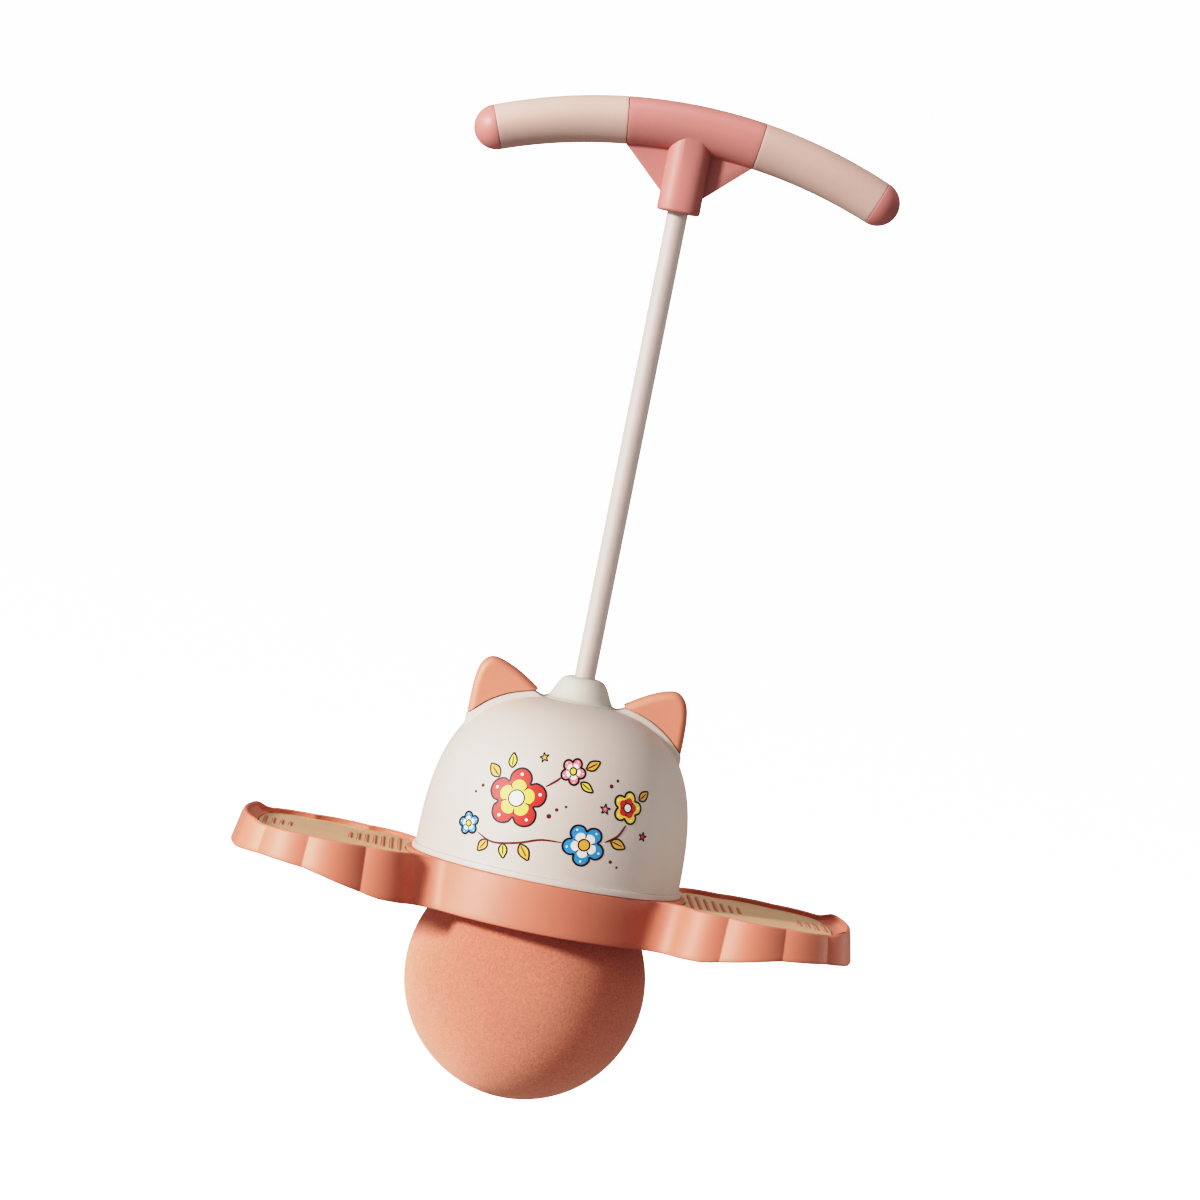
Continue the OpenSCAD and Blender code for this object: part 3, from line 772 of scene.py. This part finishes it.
def dome():
    fine = np.radians(np.concatenate([np.arange(-24, 24, 0.45), np.arange(24, 156, 1.2)]))
    angles = np.concatenate([fine, fine + math.pi])
    wall = dome_points(0.0, 170)
    d = np.gradient(wall, axis=0)
    d /= np.linalg.norm(d, axis=1)[:, None]
    nr, nz = d[:, 1], -d[:, 0]
    s = Shell()
    rows = []
    foot = [(84.5, SEAT + 0.02), (90.15, SEAT + 0.02), (90.5, SEAT + 0.25), (90.62, SEAT + 0.7), (90.5, SEAT + 3.2), (90.3, SEAT + 3.75), (89.85, SEAT + 4.0),
            (89.25, SEAT + 4.05), (88.95, SEAT + 4.25)]
    for r, z in foot:
        rows.append(s.loop(np.column_stack([r * np.cos(angles), r * np.sin(angles), np.full(len(angles), z)])))
    for (r, z), a, b in zip(wall, nr, nz):
        x, y = r * np.cos(angles), r * np.sin(angles)
        nx, ny = a * np.cos(angles), a * np.sin(angles)
        ax = np.abs(x)
        ux = np.abs(nx)
        room_x = (72.3 - ax) / np.maximum(ux, 1e-3)
        room_in = (ax - 25.4) * 0.7
        room_y = (13.6 - np.abs(y)) * 2.2
        lift_ = np.minimum(np.minimum(room_x, room_y), room_in)
        # soft minimum with the full height, and a soft start from the dome
        k = 1.1
        h = np.clip(0.5 + 0.5 * (4.0 - lift_) / k, 0, 1)
        lift_ = 4.0 * (1 - h) + lift_ * h - k * h * (1 - h)
        k2 = 1.6
        h2 = np.clip(0.5 + 0.5 * lift_ / k2, 0, 1)
        lift_ = lift_ * h2 + k2 * h2 * (1 - h2)
        lift_ *= step(z, 228, 236)
        rows.append(s.loop(np.column_stack([x + nx * lift_, y + ny * lift_, z + b * lift_])))
    for r, z in [(24.9, CAP_Z + 0.25), (24.4, CAP_Z), (12.0, CAP_Z), (4.15, CAP_Z), (4.15, CAP_Z - 6), (18.0, CAP_Z - 6), (21.0, CAP_Z - 4.2)]:
        rows.append(s.loop(np.column_stack([r * np.cos(angles), r * np.sin(angles), np.full(len(angles), z)])))
    inner = dome_points(-2.6, 40)[::-1]
    for r, z in inner:
        if r < 84.6 and z < CAP_Z - 4.6:
            rows.append(s.loop(np.column_stack([r * np.cos(angles), r * np.sin(angles), np.full(len(angles), z)])))
    for a, b in zip(rows, rows[1:]):
        s.join(a, b)
    s.join(rows[-1], rows[0])
    return s.piece("dome_cover", 34)


place(dome(), DOME, "base", "dome_grey", "dome_shell")

EAR_LINE = [(71.6, 240.0), (71.9, 252), (71.7, 264), (70.9, 272.6), (69.3, 279.0), (66.4, 283.4), (62.3, 285.6), (57.6, 285.4), (51.2, 283.4),
            (43.6, 280.0), (36.0, 275.5), (29.2, 271.0), (27.4, 269.8)]


def ear(side):
    line = smooth_curve(EAR_LINE, 6)
    d = np.gradient(line, axis=0)
    d /= np.linalg.norm(d, axis=1)[:, None]
    out = np.column_stack([d[:, 1], -d[:, 0]])
    if (out[5] @ np.array([1.0, 0.0])) < 0:
        out = -out
    # the fillet fades out towards both feet so that the outline keeps its width there
    half, rad, lift_ = 13.0, 4.6, 4.12
    s = Shell()

    def foot(x, y):
        return float(dome_top(math.hypot(x, y), lift_))

    rings = []
    nb = 26
    steps = 7
    section = []
    for i in range(steps + 1):
        a = math.pi / 2 * i / steps
        section.append((rad * (1 - math.sin(a)), -(half - rad) - rad * math.cos(a)))
    section = [(rad + 0.8, -half)] + section + [(0.0, 0.0)] + [(e, -y) for e, y in section[::-1]] + [(rad + 0.8, half)]
    for e, y in section:
        top_ = line - out * e
        # keep the part of the curve above the seat, and end it on the seat at both sides
        above = np.array([p[1] > foot(p[0], y) + 0.15 for p in top_])
        idx = np.where(above)[0]
        pts = top_[idx[0]: idx[-1] + 1]
        c = np.concatenate([[0], np.cumsum(np.hypot(*np.diff(pts, axis=0).T))])
        at = np.linspace(0, c[-1], 70)
        pts = np.column_stack([np.interp(at, c, pts[:, 0]), np.interp(at, c, pts[:, 1])])
        x0, x1 = pts[0, 0], pts[-1, 0]
        base = [(x, foot(x, y)) for x in np.linspace(x1, x0, nb)]
        full = np.vstack([pts, base])
        rings.append(s.loop([(side * p[0], y, p[1]) for p in full]))
    for a, b in zip(rings, rings[1:]):
        s.join(a, b)
    s.fill(rings[0], [], (0, 2))
    s.fill(rings[-1], [], (0, 2))
    return s.piece("ear_cap_right" if side > 0 else "ear_cap_left", 36)


place(ear(1), EAR, "base", "ear_salmon", "ear_right")
place(ear(-1), EAR, "base", "ear_salmon", "ear_left")

# flowers printed on the front of the dome, as thin films of ink


def on_dome(ab, out):
    """Point of the dome's front: a runs round it from the middle, b up from z 205, both in mm."""
    a, z = ab[:, 0] / 84.0, 205.0 + ab[:, 1]
    r = dome_r(z)
    e = 0.05
    slope = (dome_r(z + e) - dome_r(z - e)) / (2 * e)
    k = 1 / np.sqrt(1 + slope ** 2)
    rr, zz = r + out * k, z - out * slope * k
    return np.column_stack([rr * np.sin(a), -rr * np.cos(a), zz])


class Film:
    """All the patches of one ink, each a thin closed slab."""

    def __init__(self):
        self.s = Shell()

    def patch(self, outline, out, cell=2.2):
        """Filled shape."""
        edge = np.array(outline, float)
        lo_, hi_ = edge.min(0), edge.max(0)
        gx, gy = np.meshgrid(np.arange(lo_[0] + cell / 2, hi_[0], cell), np.arange(lo_[1] + cell / 2, hi_[1], cell))
        grid = np.column_stack([gx.ravel(), gy.ravel()])
        keep = [g for g in grid if holds(edge, g) and np.min(np.hypot(*(edge - g).T)) > cell * 0.45]
        pts = np.vstack([edge, np.array(keep)]) if keep else edge
        n = len(edge)
        got = geometry.delaunay_2d_cdt([Vector(q) for q in pts], [(i, (i + 1) % n) for i in range(n)], [], 1, 1e-6)
        back = [o[0] for o in got[3]]
        up = self.s.loop(on_dome(pts, out))
        down = self.s.loop(on_dome(pts, -0.3))
        for tri in got[2]:
            q = [back[i] for i in tri]
            self.s.f.append(tuple(up[i] for i in q))
            self.s.f.append(tuple(down[i] for i in q[::-1]))
        self.s.join(up[:n], down[:n])

    def line(self, points, width, out, closed=False, taper=True):
        """Drawn line: a ribbon that thins out at its ends."""
        p = smooth_curve(points, 8, closed)
        d = (np.roll(p, -1, axis=0) - np.roll(p, 1, axis=0)) if closed else np.gradient(p, axis=0)
        d /= np.linalg.norm(d, axis=1)[:, None]
        nrm = np.column_stack([-d[:, 1], d[:, 0]])
        n = len(p)
        u = np.linspace(-1, 1, n)
        w = np.full(n, width / 2) if closed or not taper else width / 2 * (0.25 + 0.75 * (1 - np.abs(u) ** 3))
        left, right = p + nrm * w[:, None], p - nrm * w[:, None]
        lu, ru = self.s.loop(on_dome(left, out)), self.s.loop(on_dome(right, out))
        ld, rd = self.s.loop(on_dome(left, -0.3)), self.s.loop(on_dome(right, -0.3))
        for a, b in ((lu, ru), (ru, rd), (rd, ld), (ld, lu)):
            self.s.join(a, b, closed)
        if not closed:
            for i in (0, n - 1):
                self.s.f.append((lu[i], ru[i], rd[i], ld[i]))


def blossom(c, size, turn=0.0, petals=5, deep=0.36, n=90):
    a = np.linspace(0, 2 * math.pi, n, endpoint=False)
    r = size * (1 - deep + deep * np.abs(np.cos(petals / 2 * (a - turn))) ** 0.75)
    return np.column_stack([c[0] + r * np.cos(a), c[1] + r * np.sin(a)])


def disc(c, r, n=28):
    a = np.linspace(0, 2 * math.pi, n, endpoint=False)
    return np.column_stack([c[0] + r * np.cos(a), c[1] + r * np.sin(a)])


def leaf(root, tip, wide, n=16):
    root, tip = np.array(root, float), np.array(tip, float)
    d = tip - root
    m = np.array([-d[1], d[0]]) / np.linalg.norm(d)
    u = np.linspace(0, 1, n)
    h = wide * np.sin(np.pi * u ** 0.8)
    one = root + d * u[:, None] + m * h[:, None]
    two = root + d * u[:, None] - m * h[:, None]
    return np.vstack([one, two[-2:0:-1]])


def spark(c, r, turn=0.0, points=5, waist=0.45):
    a = np.linspace(0, 2 * math.pi, 2 * points, endpoint=False) + turn
    k = np.where(np.arange(2 * points) % 2 == 0, r, r * waist)
    return np.column_stack([c[0] + k * np.cos(a), c[1] + k * np.sin(a)])


FILL, DETAIL, INK = 0.10, 0.16, 0.22
films = {k: Film() for k in INKS}


def flower(c, size, turn, petal, inner, heart):
    films[petal].patch(blossom(c, size, turn), FILL)
    films["dark"].line(blossom(c, size, turn)[::2], 1.1, INK, closed=True)
    films[inner].patch(blossom(c, size * 0.62, turn, deep=0.30), DETAIL - 0.02)
    films[heart].patch(disc(c, size * 0.27), DETAIL + 0.02, 1.4)
    films["dark"].line(disc(c, size * 0.27), 0.8, INK, closed=True)
    for i in range(5):
        a = turn + 2 * math.pi * (i + 0.5) / 5
        u = np.array([math.cos(a), math.sin(a)])
        films["dark"].line([np.array(c) + u * size * k for k in (0.34, 0.44, 0.53)], 0.7, INK)
    for i in range(5):
        a = turn + 2 * math.pi * i / 5
        u = np.array([math.cos(a), math.sin(a)])
        films["white"].patch(disc(np.array(c) + u * size * 0.80, size * 0.055, 14), DETAIL + 0.02, 1.0)


def sprig(root, tip, wide, ink):
    films[ink].patch(leaf(root, tip, wide), FILL)
    films["dark"].line(np.vstack([leaf(root, tip, wide)[::2]]), 0.9, INK, closed=True)
    a, b = np.array(root, float), np.array(tip, float)
    films["dark"].line([a + (b - a) * k for k in (0.08, 0.4, 0.74)], 0.65, INK)


flower((-31, -2), 19.5, 0.35, "red", "yellow", "white")
flower((17, -23), 13.5, 0.9, "blue", "white", "gold")
flower((43, 5), 10.5, 0.1, "yellow", "red", "white")
flower((2, 22), 8.6, 1.2, "pink", "white", "yellow")
flower((-60, -25), 7.6, 0.6, "blue", "white", "yellow")
films["brown"].line([(-52, -29), (-40, -33), (-24, -30), (-10, -25), (3, -24)], 1.3, INK)
films["brown"].line([(30, -19), (38, -14), (43, -6)], 1.3, INK)
films["brown"].line([(-14, 9), (-8, 14), (-5, 17)], 1.2, INK)
sprig((-44, -32.5), (-49, -41), 3.0, "gold")
sprig((-22, -30.5), (-15, -40), 3.3, "gold")
sprig((-33, -32.5), (-31, -42), 2.7, "yellow")
sprig((34, -17.5), (45, -21), 3.2, "gold")
sprig((11, 25), (21, 31), 2.9, "gold")
sprig((8.5, 16), (17.5, 11), 2.6, "yellow")
sprig((-47, 9), (-57, 16), 3.4, "gold")
sprig((-40, 16.5), (-43, 26), 2.9, "yellow")
sprig((52, 11), (60, 17), 2.8, "gold")
for c, r, ink in (((-8, -9), 1.5, "brown"), ((-4, -4), 1.1, "brown"), ((1.5, -1), 0.8, "brown"), ((30, 17), 1.3, "brown"), ((34.5, 21), 1.0, "brown"),
                  ((-57, 1), 1.2, "brown"), ((-61, -4), 0.9, "brown"), ((36, -31), 1.1, "brown"), ((41, -34), 0.8, "brown")):
    films[ink].patch(disc(c, r, 18), FILL, 1.2)
for c, r, turn, ink in (((27, 2), 3.4, 0.3, "pink"), ((-20, 27), 3.2, 0.7, "gold"), ((57, -12), 3.0, 0.2, "red")):
    films[ink].patch(spark(c, r, turn), FILL, 1.4)
    films["dark"].line(spark(c, r, turn), 0.6, INK, closed=True)
for ink, film in films.items():
    place(film.s.piece(f"dome_print_{ink}", 40), INKS[ink], "base", "dome_grey")

# grommet where the rod comes out of the dome
bell = smooth_curve([(24.4, 0.35), (22.4, 1.1), (20.7, 2.8), (19.2, 5.6), (17.7, 8.9), (16.0, 12.0), (13.8, 14.7), (11.2, 16.2), (8.9, 16.62)], 6)
grommet = lathe("rod_boot", [(24.3, 0.05)] + [tuple(p) for p in bell] + [(7.9, 16.5), (7.3, 16.0), (7.05, 15.1), (7.05, 8.3), (9.4, 8.3), (9.4, 0.05)], 128, closed=True, sharp=34)
grommet.data.transform(Matrix.Translation((0, 0, CAP_Z * MM)))
place(grommet, BOSS, "base", "grommet_grey", "rod_grommet")


# ------------------------------------------------------------------ rod


def rod_length(name, z0, z1, r, rows, n=48, first=None, last=None, ridges=0):
    """Round length of the rod between two heights, closed at both ends."""
    prof = [(0.0, z0), (r, z0)]
    if ridges:
        for i in range(ridges):
            a = z0 + (z1 - z0) * (i + 0.5) / ridges
            h = (z1 - z0) / ridges / 2
            prof += [(r - 0.35, a - h * 0.9), (r, a)]
        prof += [(r - 0.35, z1 - 0.05)]
    else:
        prof += [(r, z) for z in np.linspace(z0, z1, rows)[1:]]
    prof += [(0.0, z1)]
    return lathe(name, prof, n, sharp=40)


SPANS = [("lower", 270.0, 400.0, "base", "rod_core", 290.0, 400.0), ("middle", 400.0, 510.0, "rod_core", "rod_sleeve", 400.0, 510.0),
         ("upper", 510.0, 626.0, "rod_sleeve", "rod_tip", 510.0, 597.0)]
for tag, z0, z1, a, b, s0, s1 in SPANS:
    sleeve = rod_length(f"rod_sleeve_{tag}", z0, z1, 6.9, 60)
    place(sleeve, ROD, None, "rod_white", "pull_rod")
    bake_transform(sleeve)
    core = rod_length(f"rod_spring_{tag}", max(z0, 270.2), min(z1, 625.0), 4.45, 0, 20, ridges=int((z1 - z0) / 2.05))
    place(core, SPRING, None, "spring_steel", "rod_core")
    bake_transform(core)


# ------------------------------------------------------------------ ball


def ball():
    prof = [(0.0, 0.0)]
    for a in np.linspace(-89, 55.9, 84):
        prof.append((80 * math.cos(math.radians(a)), 80 + 80 * math.sin(math.radians(a))))
    # soft hollow into the neck, the neck itself and the upper lobe
    neck = corner((46, 145.6), (66.2, 124.9), (66.2, 160), 3.0, 4)
    r_end, z_end = prof[-1]
    prof = [p for p in prof if p[1] < 123.6]
    prof += [(66.25, 125.2), (66.2, 128), (66.2, 140), (66.2, 150), (66.2, 158), (66.4, 162)]
    for a in np.linspace(-40, 90, 30):
        prof.append((35 + 44 * math.cos(math.radians(a)), 192 + 44 * math.sin(math.radians(a))))
    prof += [(22, 236), (10, 236), (0.0, 236)]
    ob = lathe("ball_skin", prof, 160, sharp=60)
    drill = lathe("drill", [(0, 64.0), (7.3, 64.0), (7.3, 78.6), (7.9, 79.6), (9.2, 82.0), (0, 82.0)], 48)
    drill.data.transform(Matrix.Translation((0, 0, 80 * MM)) @ Matrix.Rotation(math.radians(-129), 4, "X"))
    return boolean(ob, drill, "DIFFERENCE", 60)


BALL_OB = ball()
place(BALL_OB, BALL, None, "ball_rubber", "ball_bladder")
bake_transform(BALL_OB)


# ------------------------------------------------------------------ handle

BAR_Z, BEND = 652.6, 350.0
BAR_C = BAR_Z - BEND


def bar_radius(a):
    """Half thickness of the bar at an angle in degrees from its crown."""
    return float(np.interp(abs(a), [0, 7.3, 14, 21.36], [15.9, 15.85, 15.45, 15.0]))


def bar_ring(s, a, r, n=72, side=1):
    t = math.radians(a)
    c = np.array([BEND * math.sin(t), 0, BAR_C + BEND * math.cos(t)])
    er, ey = np.array([math.sin(t), 0, math.cos(t)]), np.array([0, 1.0, 0])
    f = np.linspace(0, 2 * math.pi, n, endpoint=False)
    p = c + r * (np.cos(f)[:, None] * er + np.sin(f)[:, None] * ey)
    p[:, 0] *= side
    return s.loop(p)


def bar_axis(a, side=1):
    t = math.radians(a)
    return (side * BEND * math.sin(t), 0.0, BAR_C + BEND * math.cos(t))


DEG = math.degrees(1 / BEND)


def bar_solid(name, a0, a1, radius, rows, edge=0.35, bore=None, side=1, sharp=34):
    """Length of the bar with eased edges; a bore makes it a sleeve."""
    s = Shell()
    e = edge
    prof = [(a0 + DEG * e * (1 - math.cos(t)), radius(a0) - e + e * math.sin(t)) for t in np.linspace(0, math.pi / 2, 5)]
    prof += [(a, radius(a)) for a in np.linspace(a0 + DEG * e, a1 - DEG * e, rows)[1:-1]]
    prof += [(a1 - DEG * e * (1 - math.sin(t)), radius(a1) - e + e * math.cos(t)) for t in np.linspace(0, math.pi / 2, 5)]
    ids = [bar_ring(s, a, r, 72, side) for a, r in prof]
    for p, q in zip(ids, ids[1:]):
        s.join(p, q)
    if bore is None:
        s.cap(ids[0], bar_axis(a0, side))
        s.cap(ids[-1], bar_axis(a1, side))
    else:
        inn = [bar_ring(s, a, bore, 72, side) for a in np.linspace(a1, a0, max(6, rows // 2))]
        s.join(ids[-1], inn[0])
        for p, q in zip(inn, inn[1:]):
            s.join(p, q)
        s.join(inn[-1], ids[0])
    return s.piece(name, sharp)


def handle_centre(name):
    ob = bar_solid(name, -7.25, 7.25, bar_radius, 26)
    sock = [(12.2, 596.4)] + corner((6, 596.4), (14.45, 596.4), (14.35, 620), 1.9, 6) + [(14.35, 606), (14.35, 620), (14.35, 648.0)]
    tube = Shell()
    turn = np.linspace(0, 2 * math.pi, 96, endpoint=False)
    square = (np.abs(np.cos(turn)) ** 2.5 + np.abs(np.sin(turn)) ** 2.5) ** (-1 / 2.5)
    rows = [tube.loop(np.column_stack([r * square * np.cos(turn), r * square * np.sin(turn), np.full(96, z)])) for r, z in sock]
    for a, b in zip(rows, rows[1:]):
        tube.join(a, b)
    tube.cap(rows[0], (0, 0, 596.4))
    tube.cap(rows[-1], (0, 0, 648.0))
    boolean(ob, tube.piece("socket", 30), "UNION", 30)
    web = Shell()
    line = [(-42.6, 641.0), (42.6, 641.0), (42.6, 634.6), (14.0, 608.2), (-14.0, 608.2), (-42.6, 634.6)]
    loops = []
    for inset, y in ((0.5, -2.5), (0.12, -2.36), (0.0, -2.0), (0.0, 2.0), (0.12, 2.36), (0.5, 2.5)):
        c = np.array([0, 628.0])
        pts = []
        for x, z in line:
            v = np.array([x, z]) - c
            pts.append(np.array([x, z]) - v / np.linalg.norm(v) * inset * 1.3)
        loops.append(web.loop([(p[0], y, p[1]) for p in pts]))
    for a, b in zip(loops, loops[1:]):
        web.join(a, b)
    web.f.append(tuple(loops[0]))
    web.f.append(tuple(loops[-1]))
    boolean(ob, web.piece("web", 30), "UNION", 30)
    # room for the tube, the rod and the collar of its plug
    boolean(ob, bar_solid("tube_room", -9, 9, lambda a: 10.15, 12, edge=0.05), "DIFFERENCE", 30)
    boolean(ob, lathe("rod_room", [(0, 590), (8.6, 590), (8.6, 596.2), (7.6, 597.3), (7.3, 598.5), (7.3, 629.0), (0, 629.0)], 72), "DIFFERENCE", 30)
    boolean(ob, lathe("collar_room", [(0, 627.7), (11.1, 627.7), (11.1, 634.3), (0, 634.3)], 72), "DIFFERENCE", 30)
    return ob


def halve(ob, front):
    """Keeps one side of the parting plane and closes the cut."""
    bm = bmesh.new()
    bm.from_mesh(ob.data)
    y = (-0.10 if front else 0.10) * MM
    r = bmesh.ops.bisect_plane(bm, geom=bm.verts[:] + bm.edges[:] + bm.faces[:], plane_co=(0, y, 0), plane_no=(0, 1, 0), clear_outer=front, clear_inner=not front)
    cut = [g for g in r["geom_cut"] if isinstance(g, bmesh.types.BMEdge)]
    bmesh.ops.triangle_fill(bm, use_beauty=True, edges=cut, normal=(0, 1 if front else -1, 0))
    bmesh.ops.recalc_face_normals(bm, faces=bm.faces)
    bm.to_mesh(ob.data)
    bm.free()
    soften(ob, 30)
    return ob


front = halve(handle_centre("handle_half_front"), True)
rear = handle_centre("handle_half_rear")
rear = halve(rear, False)
for x, z in ((-10.2, 612), (10.2, 612), (-33, 637.2), (33, 637.2)):
    hole = lathe("hole", [(0, 0), (2.9, 0), (2.9, 34), (3.3, 34.4), (3.3, 40), (0, 40)], 40)
    hole.data.transform(Matrix.Translation((x * MM, 5.0 * MM, z * MM)) @ Matrix.Rotation(math.radians(-90), 4, "X"))
    boolean(rear, hole, "DIFFERENCE", 30)
place(front, PINK, "handle", "handle_pink", "handle_shell_front")
place(rear, PINK, "handle", "handle_pink", "handle_shell_rear")

for side, word in ((1, "right"), (-1, "left")):
    grip = bar_solid(f"soft_grip_{word}", 7.29, 21.355, bar_radius, 44, edge=0.40, bore=10.05, side=side)
    place(grip, CREAM, "handle", "grip_cream", f"grip_{word}")
    # rounded end cap, a little longer than a half sphere at its edge
    s = Shell()
    t0 = math.radians(21.36)
    c = np.array([BEND * math.sin(t0), 0, BAR_C + BEND * math.cos(t0)])
    er, ey = np.array([math.sin(t0), 0, math.cos(t0)]), np.array([0, 1.0, 0])
    et = np.array([math.cos(t0), 0, -math.sin(t0)])
    prof = [(0.0, 14.55), (0.12, 14.85), (0.45, 15.0)]
    for a in np.linspace(0.06, math.pi / 2, 22)[:-1]:
        prof.append((0.45 + 15.0 * math.sin(a), 15.0 * math.cos(a)))
    f = np.linspace(0, 2 * math.pi, 72, endpoint=False)
    ids = []
    for d, r in prof:
        p = c + et * d + r * (np.cos(f)[:, None] * er + np.sin(f)[:, None] * ey)
        p[:, 0] *= side
        ids.append(s.loop(p))
    for a, b in zip(ids, ids[1:]):
        s.join(a, b)
    tip = c + et * 15.45
    s.cap(ids[-1], (tip[0] * side, tip[1], tip[2]))
    # spigot inside the tube
    inn = []
    for d, r in ((0.0, 8.0), (-13.6, 8.0), (-14.0, 7.6)):
        p = c + et * d + r * (np.cos(f)[:, None] * er + np.sin(f)[:, None] * ey)
        p[:, 0] *= side
        inn.append(s.loop(p))
    s.join(inn[0], ids[0])
    for a, b in zip(inn, inn[1:]):
        s.join(a, b)
    end = c + et * -14.0
    s.cap(inn[-1], (end[0] * side, end[1], end[2]))
    place(s.piece(f"end_cap_{word}_round", 36), PINK, "handle", "handle_pink", f"end_cap_{word}")


# ------------------------------------------------------------------ camera, floor and light

target = Vector((0.0, 0.0, 0.335))
azim, dist, eye_z, roll = math.radians(-2.0), 3.84, 0.507, math.radians(11.31)
cam_data = bpy.data.cameras.new("camera")
cam_data.sensor_width = 36.0
cam_data.lens = 174.5
cam_data.clip_end = 60.0
cam = bpy.data.objects.new("camera", cam_data)
SCENE.collection.objects.link(cam)
cam.location = (math.sin(azim) * dist, -math.cos(azim) * dist, eye_z)
lifted = Vector((-math.sin(roll), 0.0, math.cos(roll))) * 0.001
cam.location = Vector(cam.location) + lifted
target = target + lifted
look = (target - Vector(cam.location)).to_track_quat("-Z", "Y").to_matrix().to_4x4()
cam.matrix_world = Matrix.Translation(cam.location) @ look @ Matrix.Rotation(roll, 4, "Z")
SCENE.camera = cam

# one pale sheet: floor in front, curving up into a backdrop behind
stage = Shell()
sweep = [(-9.0, 0.0), (-4.0, 0.0), (0.0, 0.0), (2.0, 0.0)] + [(2.0 + 3.0 * math.sin(t), 3.0 - 3.0 * math.cos(t)) for t in np.linspace(0.1, math.pi / 2, 16)] + [(5.0, 6.0), (5.0, 12.0)]
rows = [stage.loop([(x * 1000, y * 1000, z * 1000 - 0.6) for x in (-10, -3, 0, 3, 10)]) for y, z in sweep]
for a, b in zip(rows, rows[1:]):
    stage.join(a, b, closed=False)
floor = stage.piece("pale_floor", 60, flip=False)
pale = bpy.data.materials.new("pale_floor")
pale.use_nodes = True
bsdf = pale.node_tree.nodes["Principled BSDF"]
bsdf.inputs["Base Color"].default_value = (0.86, 0.86, 0.86, 1)
bsdf.inputs["Roughness"].default_value = 0.9
bsdf.inputs["Emission Color"].default_value = (1, 1, 1, 1)
bsdf.inputs["Emission Strength"].default_value = 2.4
dress(floor, pale)
floor.visible_diffuse = False
floor.visible_glossy = False
floor.visible_shadow = False

world = bpy.data.worlds.new("studio")
SCENE.world = world
world.use_nodes = True
bg = world.node_tree.nodes["Background"]
bg.inputs["Color"].default_value = (1.0, 0.96, 0.93, 1)
bg.inputs["Strength"].default_value = 0.37


def sun(name, azimuth, elevation, strength, angle, colour=(1, 1, 1)):
    """Light from a direction given as degrees left of the view axis and above the horizon."""
    d = bpy.data.lights.new(name, "SUN")
    d.energy = strength
    d.angle = math.radians(angle)
    d.color = colour
    o = bpy.data.objects.new(name, d)
    SCENE.collection.objects.link(o)
    a, e = math.radians(azimuth), math.radians(elevation)
    v = Vector((-math.sin(a) * math.cos(e), -math.cos(a) * math.cos(e), math.sin(e)))
    o.rotation_mode = "QUATERNION"
    o.rotation_quaternion = v.to_track_quat("Z", "Y")
    return o


sun("key", 55, 16, 3.93, 8, (1.0, 0.99, 0.975))
sun("low_fill", 62, -28, 0.72, 70, (1.0, 0.95, 0.89))


def keep_on(light, *starts):
    """Flag a light so that it falls only on the pieces whose names start so."""
    group = bpy.data.collections.new(light.name + "_parts")
    for ob in SCENE.objects:
        if ob.type == "MESH" and ob.name.startswith(starts):
            group.objects.link(ob)
    light.light_linking.receiver_collection = group


keep_on(sun("high_fill", -82, 8, 0.80, 60, (1.0, 0.965, 0.93)), "dome_", "rod_boot", "rod_sleeve_", "tan_pad_")


def lamp(name, at, watts, radius, colour):
    """Soft lamp at a place of its own, so that its light falls off across the part."""
    d = bpy.data.lights.new(name, "POINT")
    d.energy = watts
    d.shadow_soft_size = radius
    d.color = colour
    o = bpy.data.objects.new(name, d)
    o.location = at
    o.visible_camera = False
    SCENE.collection.objects.link(o)
    return o


HANDLE_PARTS = ("handle_half", "soft_grip", "end_cap")
keep_on(lamp("top_lamp", (-0.30, -0.80, 5.0), 275.0, 1.1, (1.0, 0.97, 0.94)), "platform_", "tan_pad_", *HANDLE_PARTS)
keep_on(lamp("rim_lamp", (2.88, 0.72, 0.54), 92.0, 0.66, (1.0, 0.95, 0.95)), "platform_", "ball_skin")
keep_on(lamp("near_low", (-0.394, -0.276, 0.28), 1.6, 0.035, (1.0, 0.99, 0.975)), "platform_")
keep_on(lamp("near_high", (-0.394, -0.276, 0.76), 1.75, 0.035, (1.0, 0.99, 0.975)), *HANDLE_PARTS)

# photographic response: a short toe and a long shoulder
view = SCENE.view_settings
view.view_transform = "Standard"
view.look = "None"
view.use_curve_mapping = True
curve = view.curve_mapping
curve.white_level = (3.0, 3.0, 3.0)
line = curve.curves[3]
RESPONSE = [(0.0, 0.0), (0.06, 0.02), (0.10, 0.045), (0.2, 0.15), (0.3, 0.27), (0.4, 0.38), (0.5, 0.48), (0.78, 0.71), (1.0, 0.80), (1.4, 0.87), (2.0, 0.94),
            (2.6, 1.0), (3.0, 1.0)]
while len(line.points) < len(RESPONSE):
    line.points.new(0.5, 0.5)
for point, (x, y) in zip(line.points, RESPONSE):
    point.location = (x / 3.0, y)
curve.update()
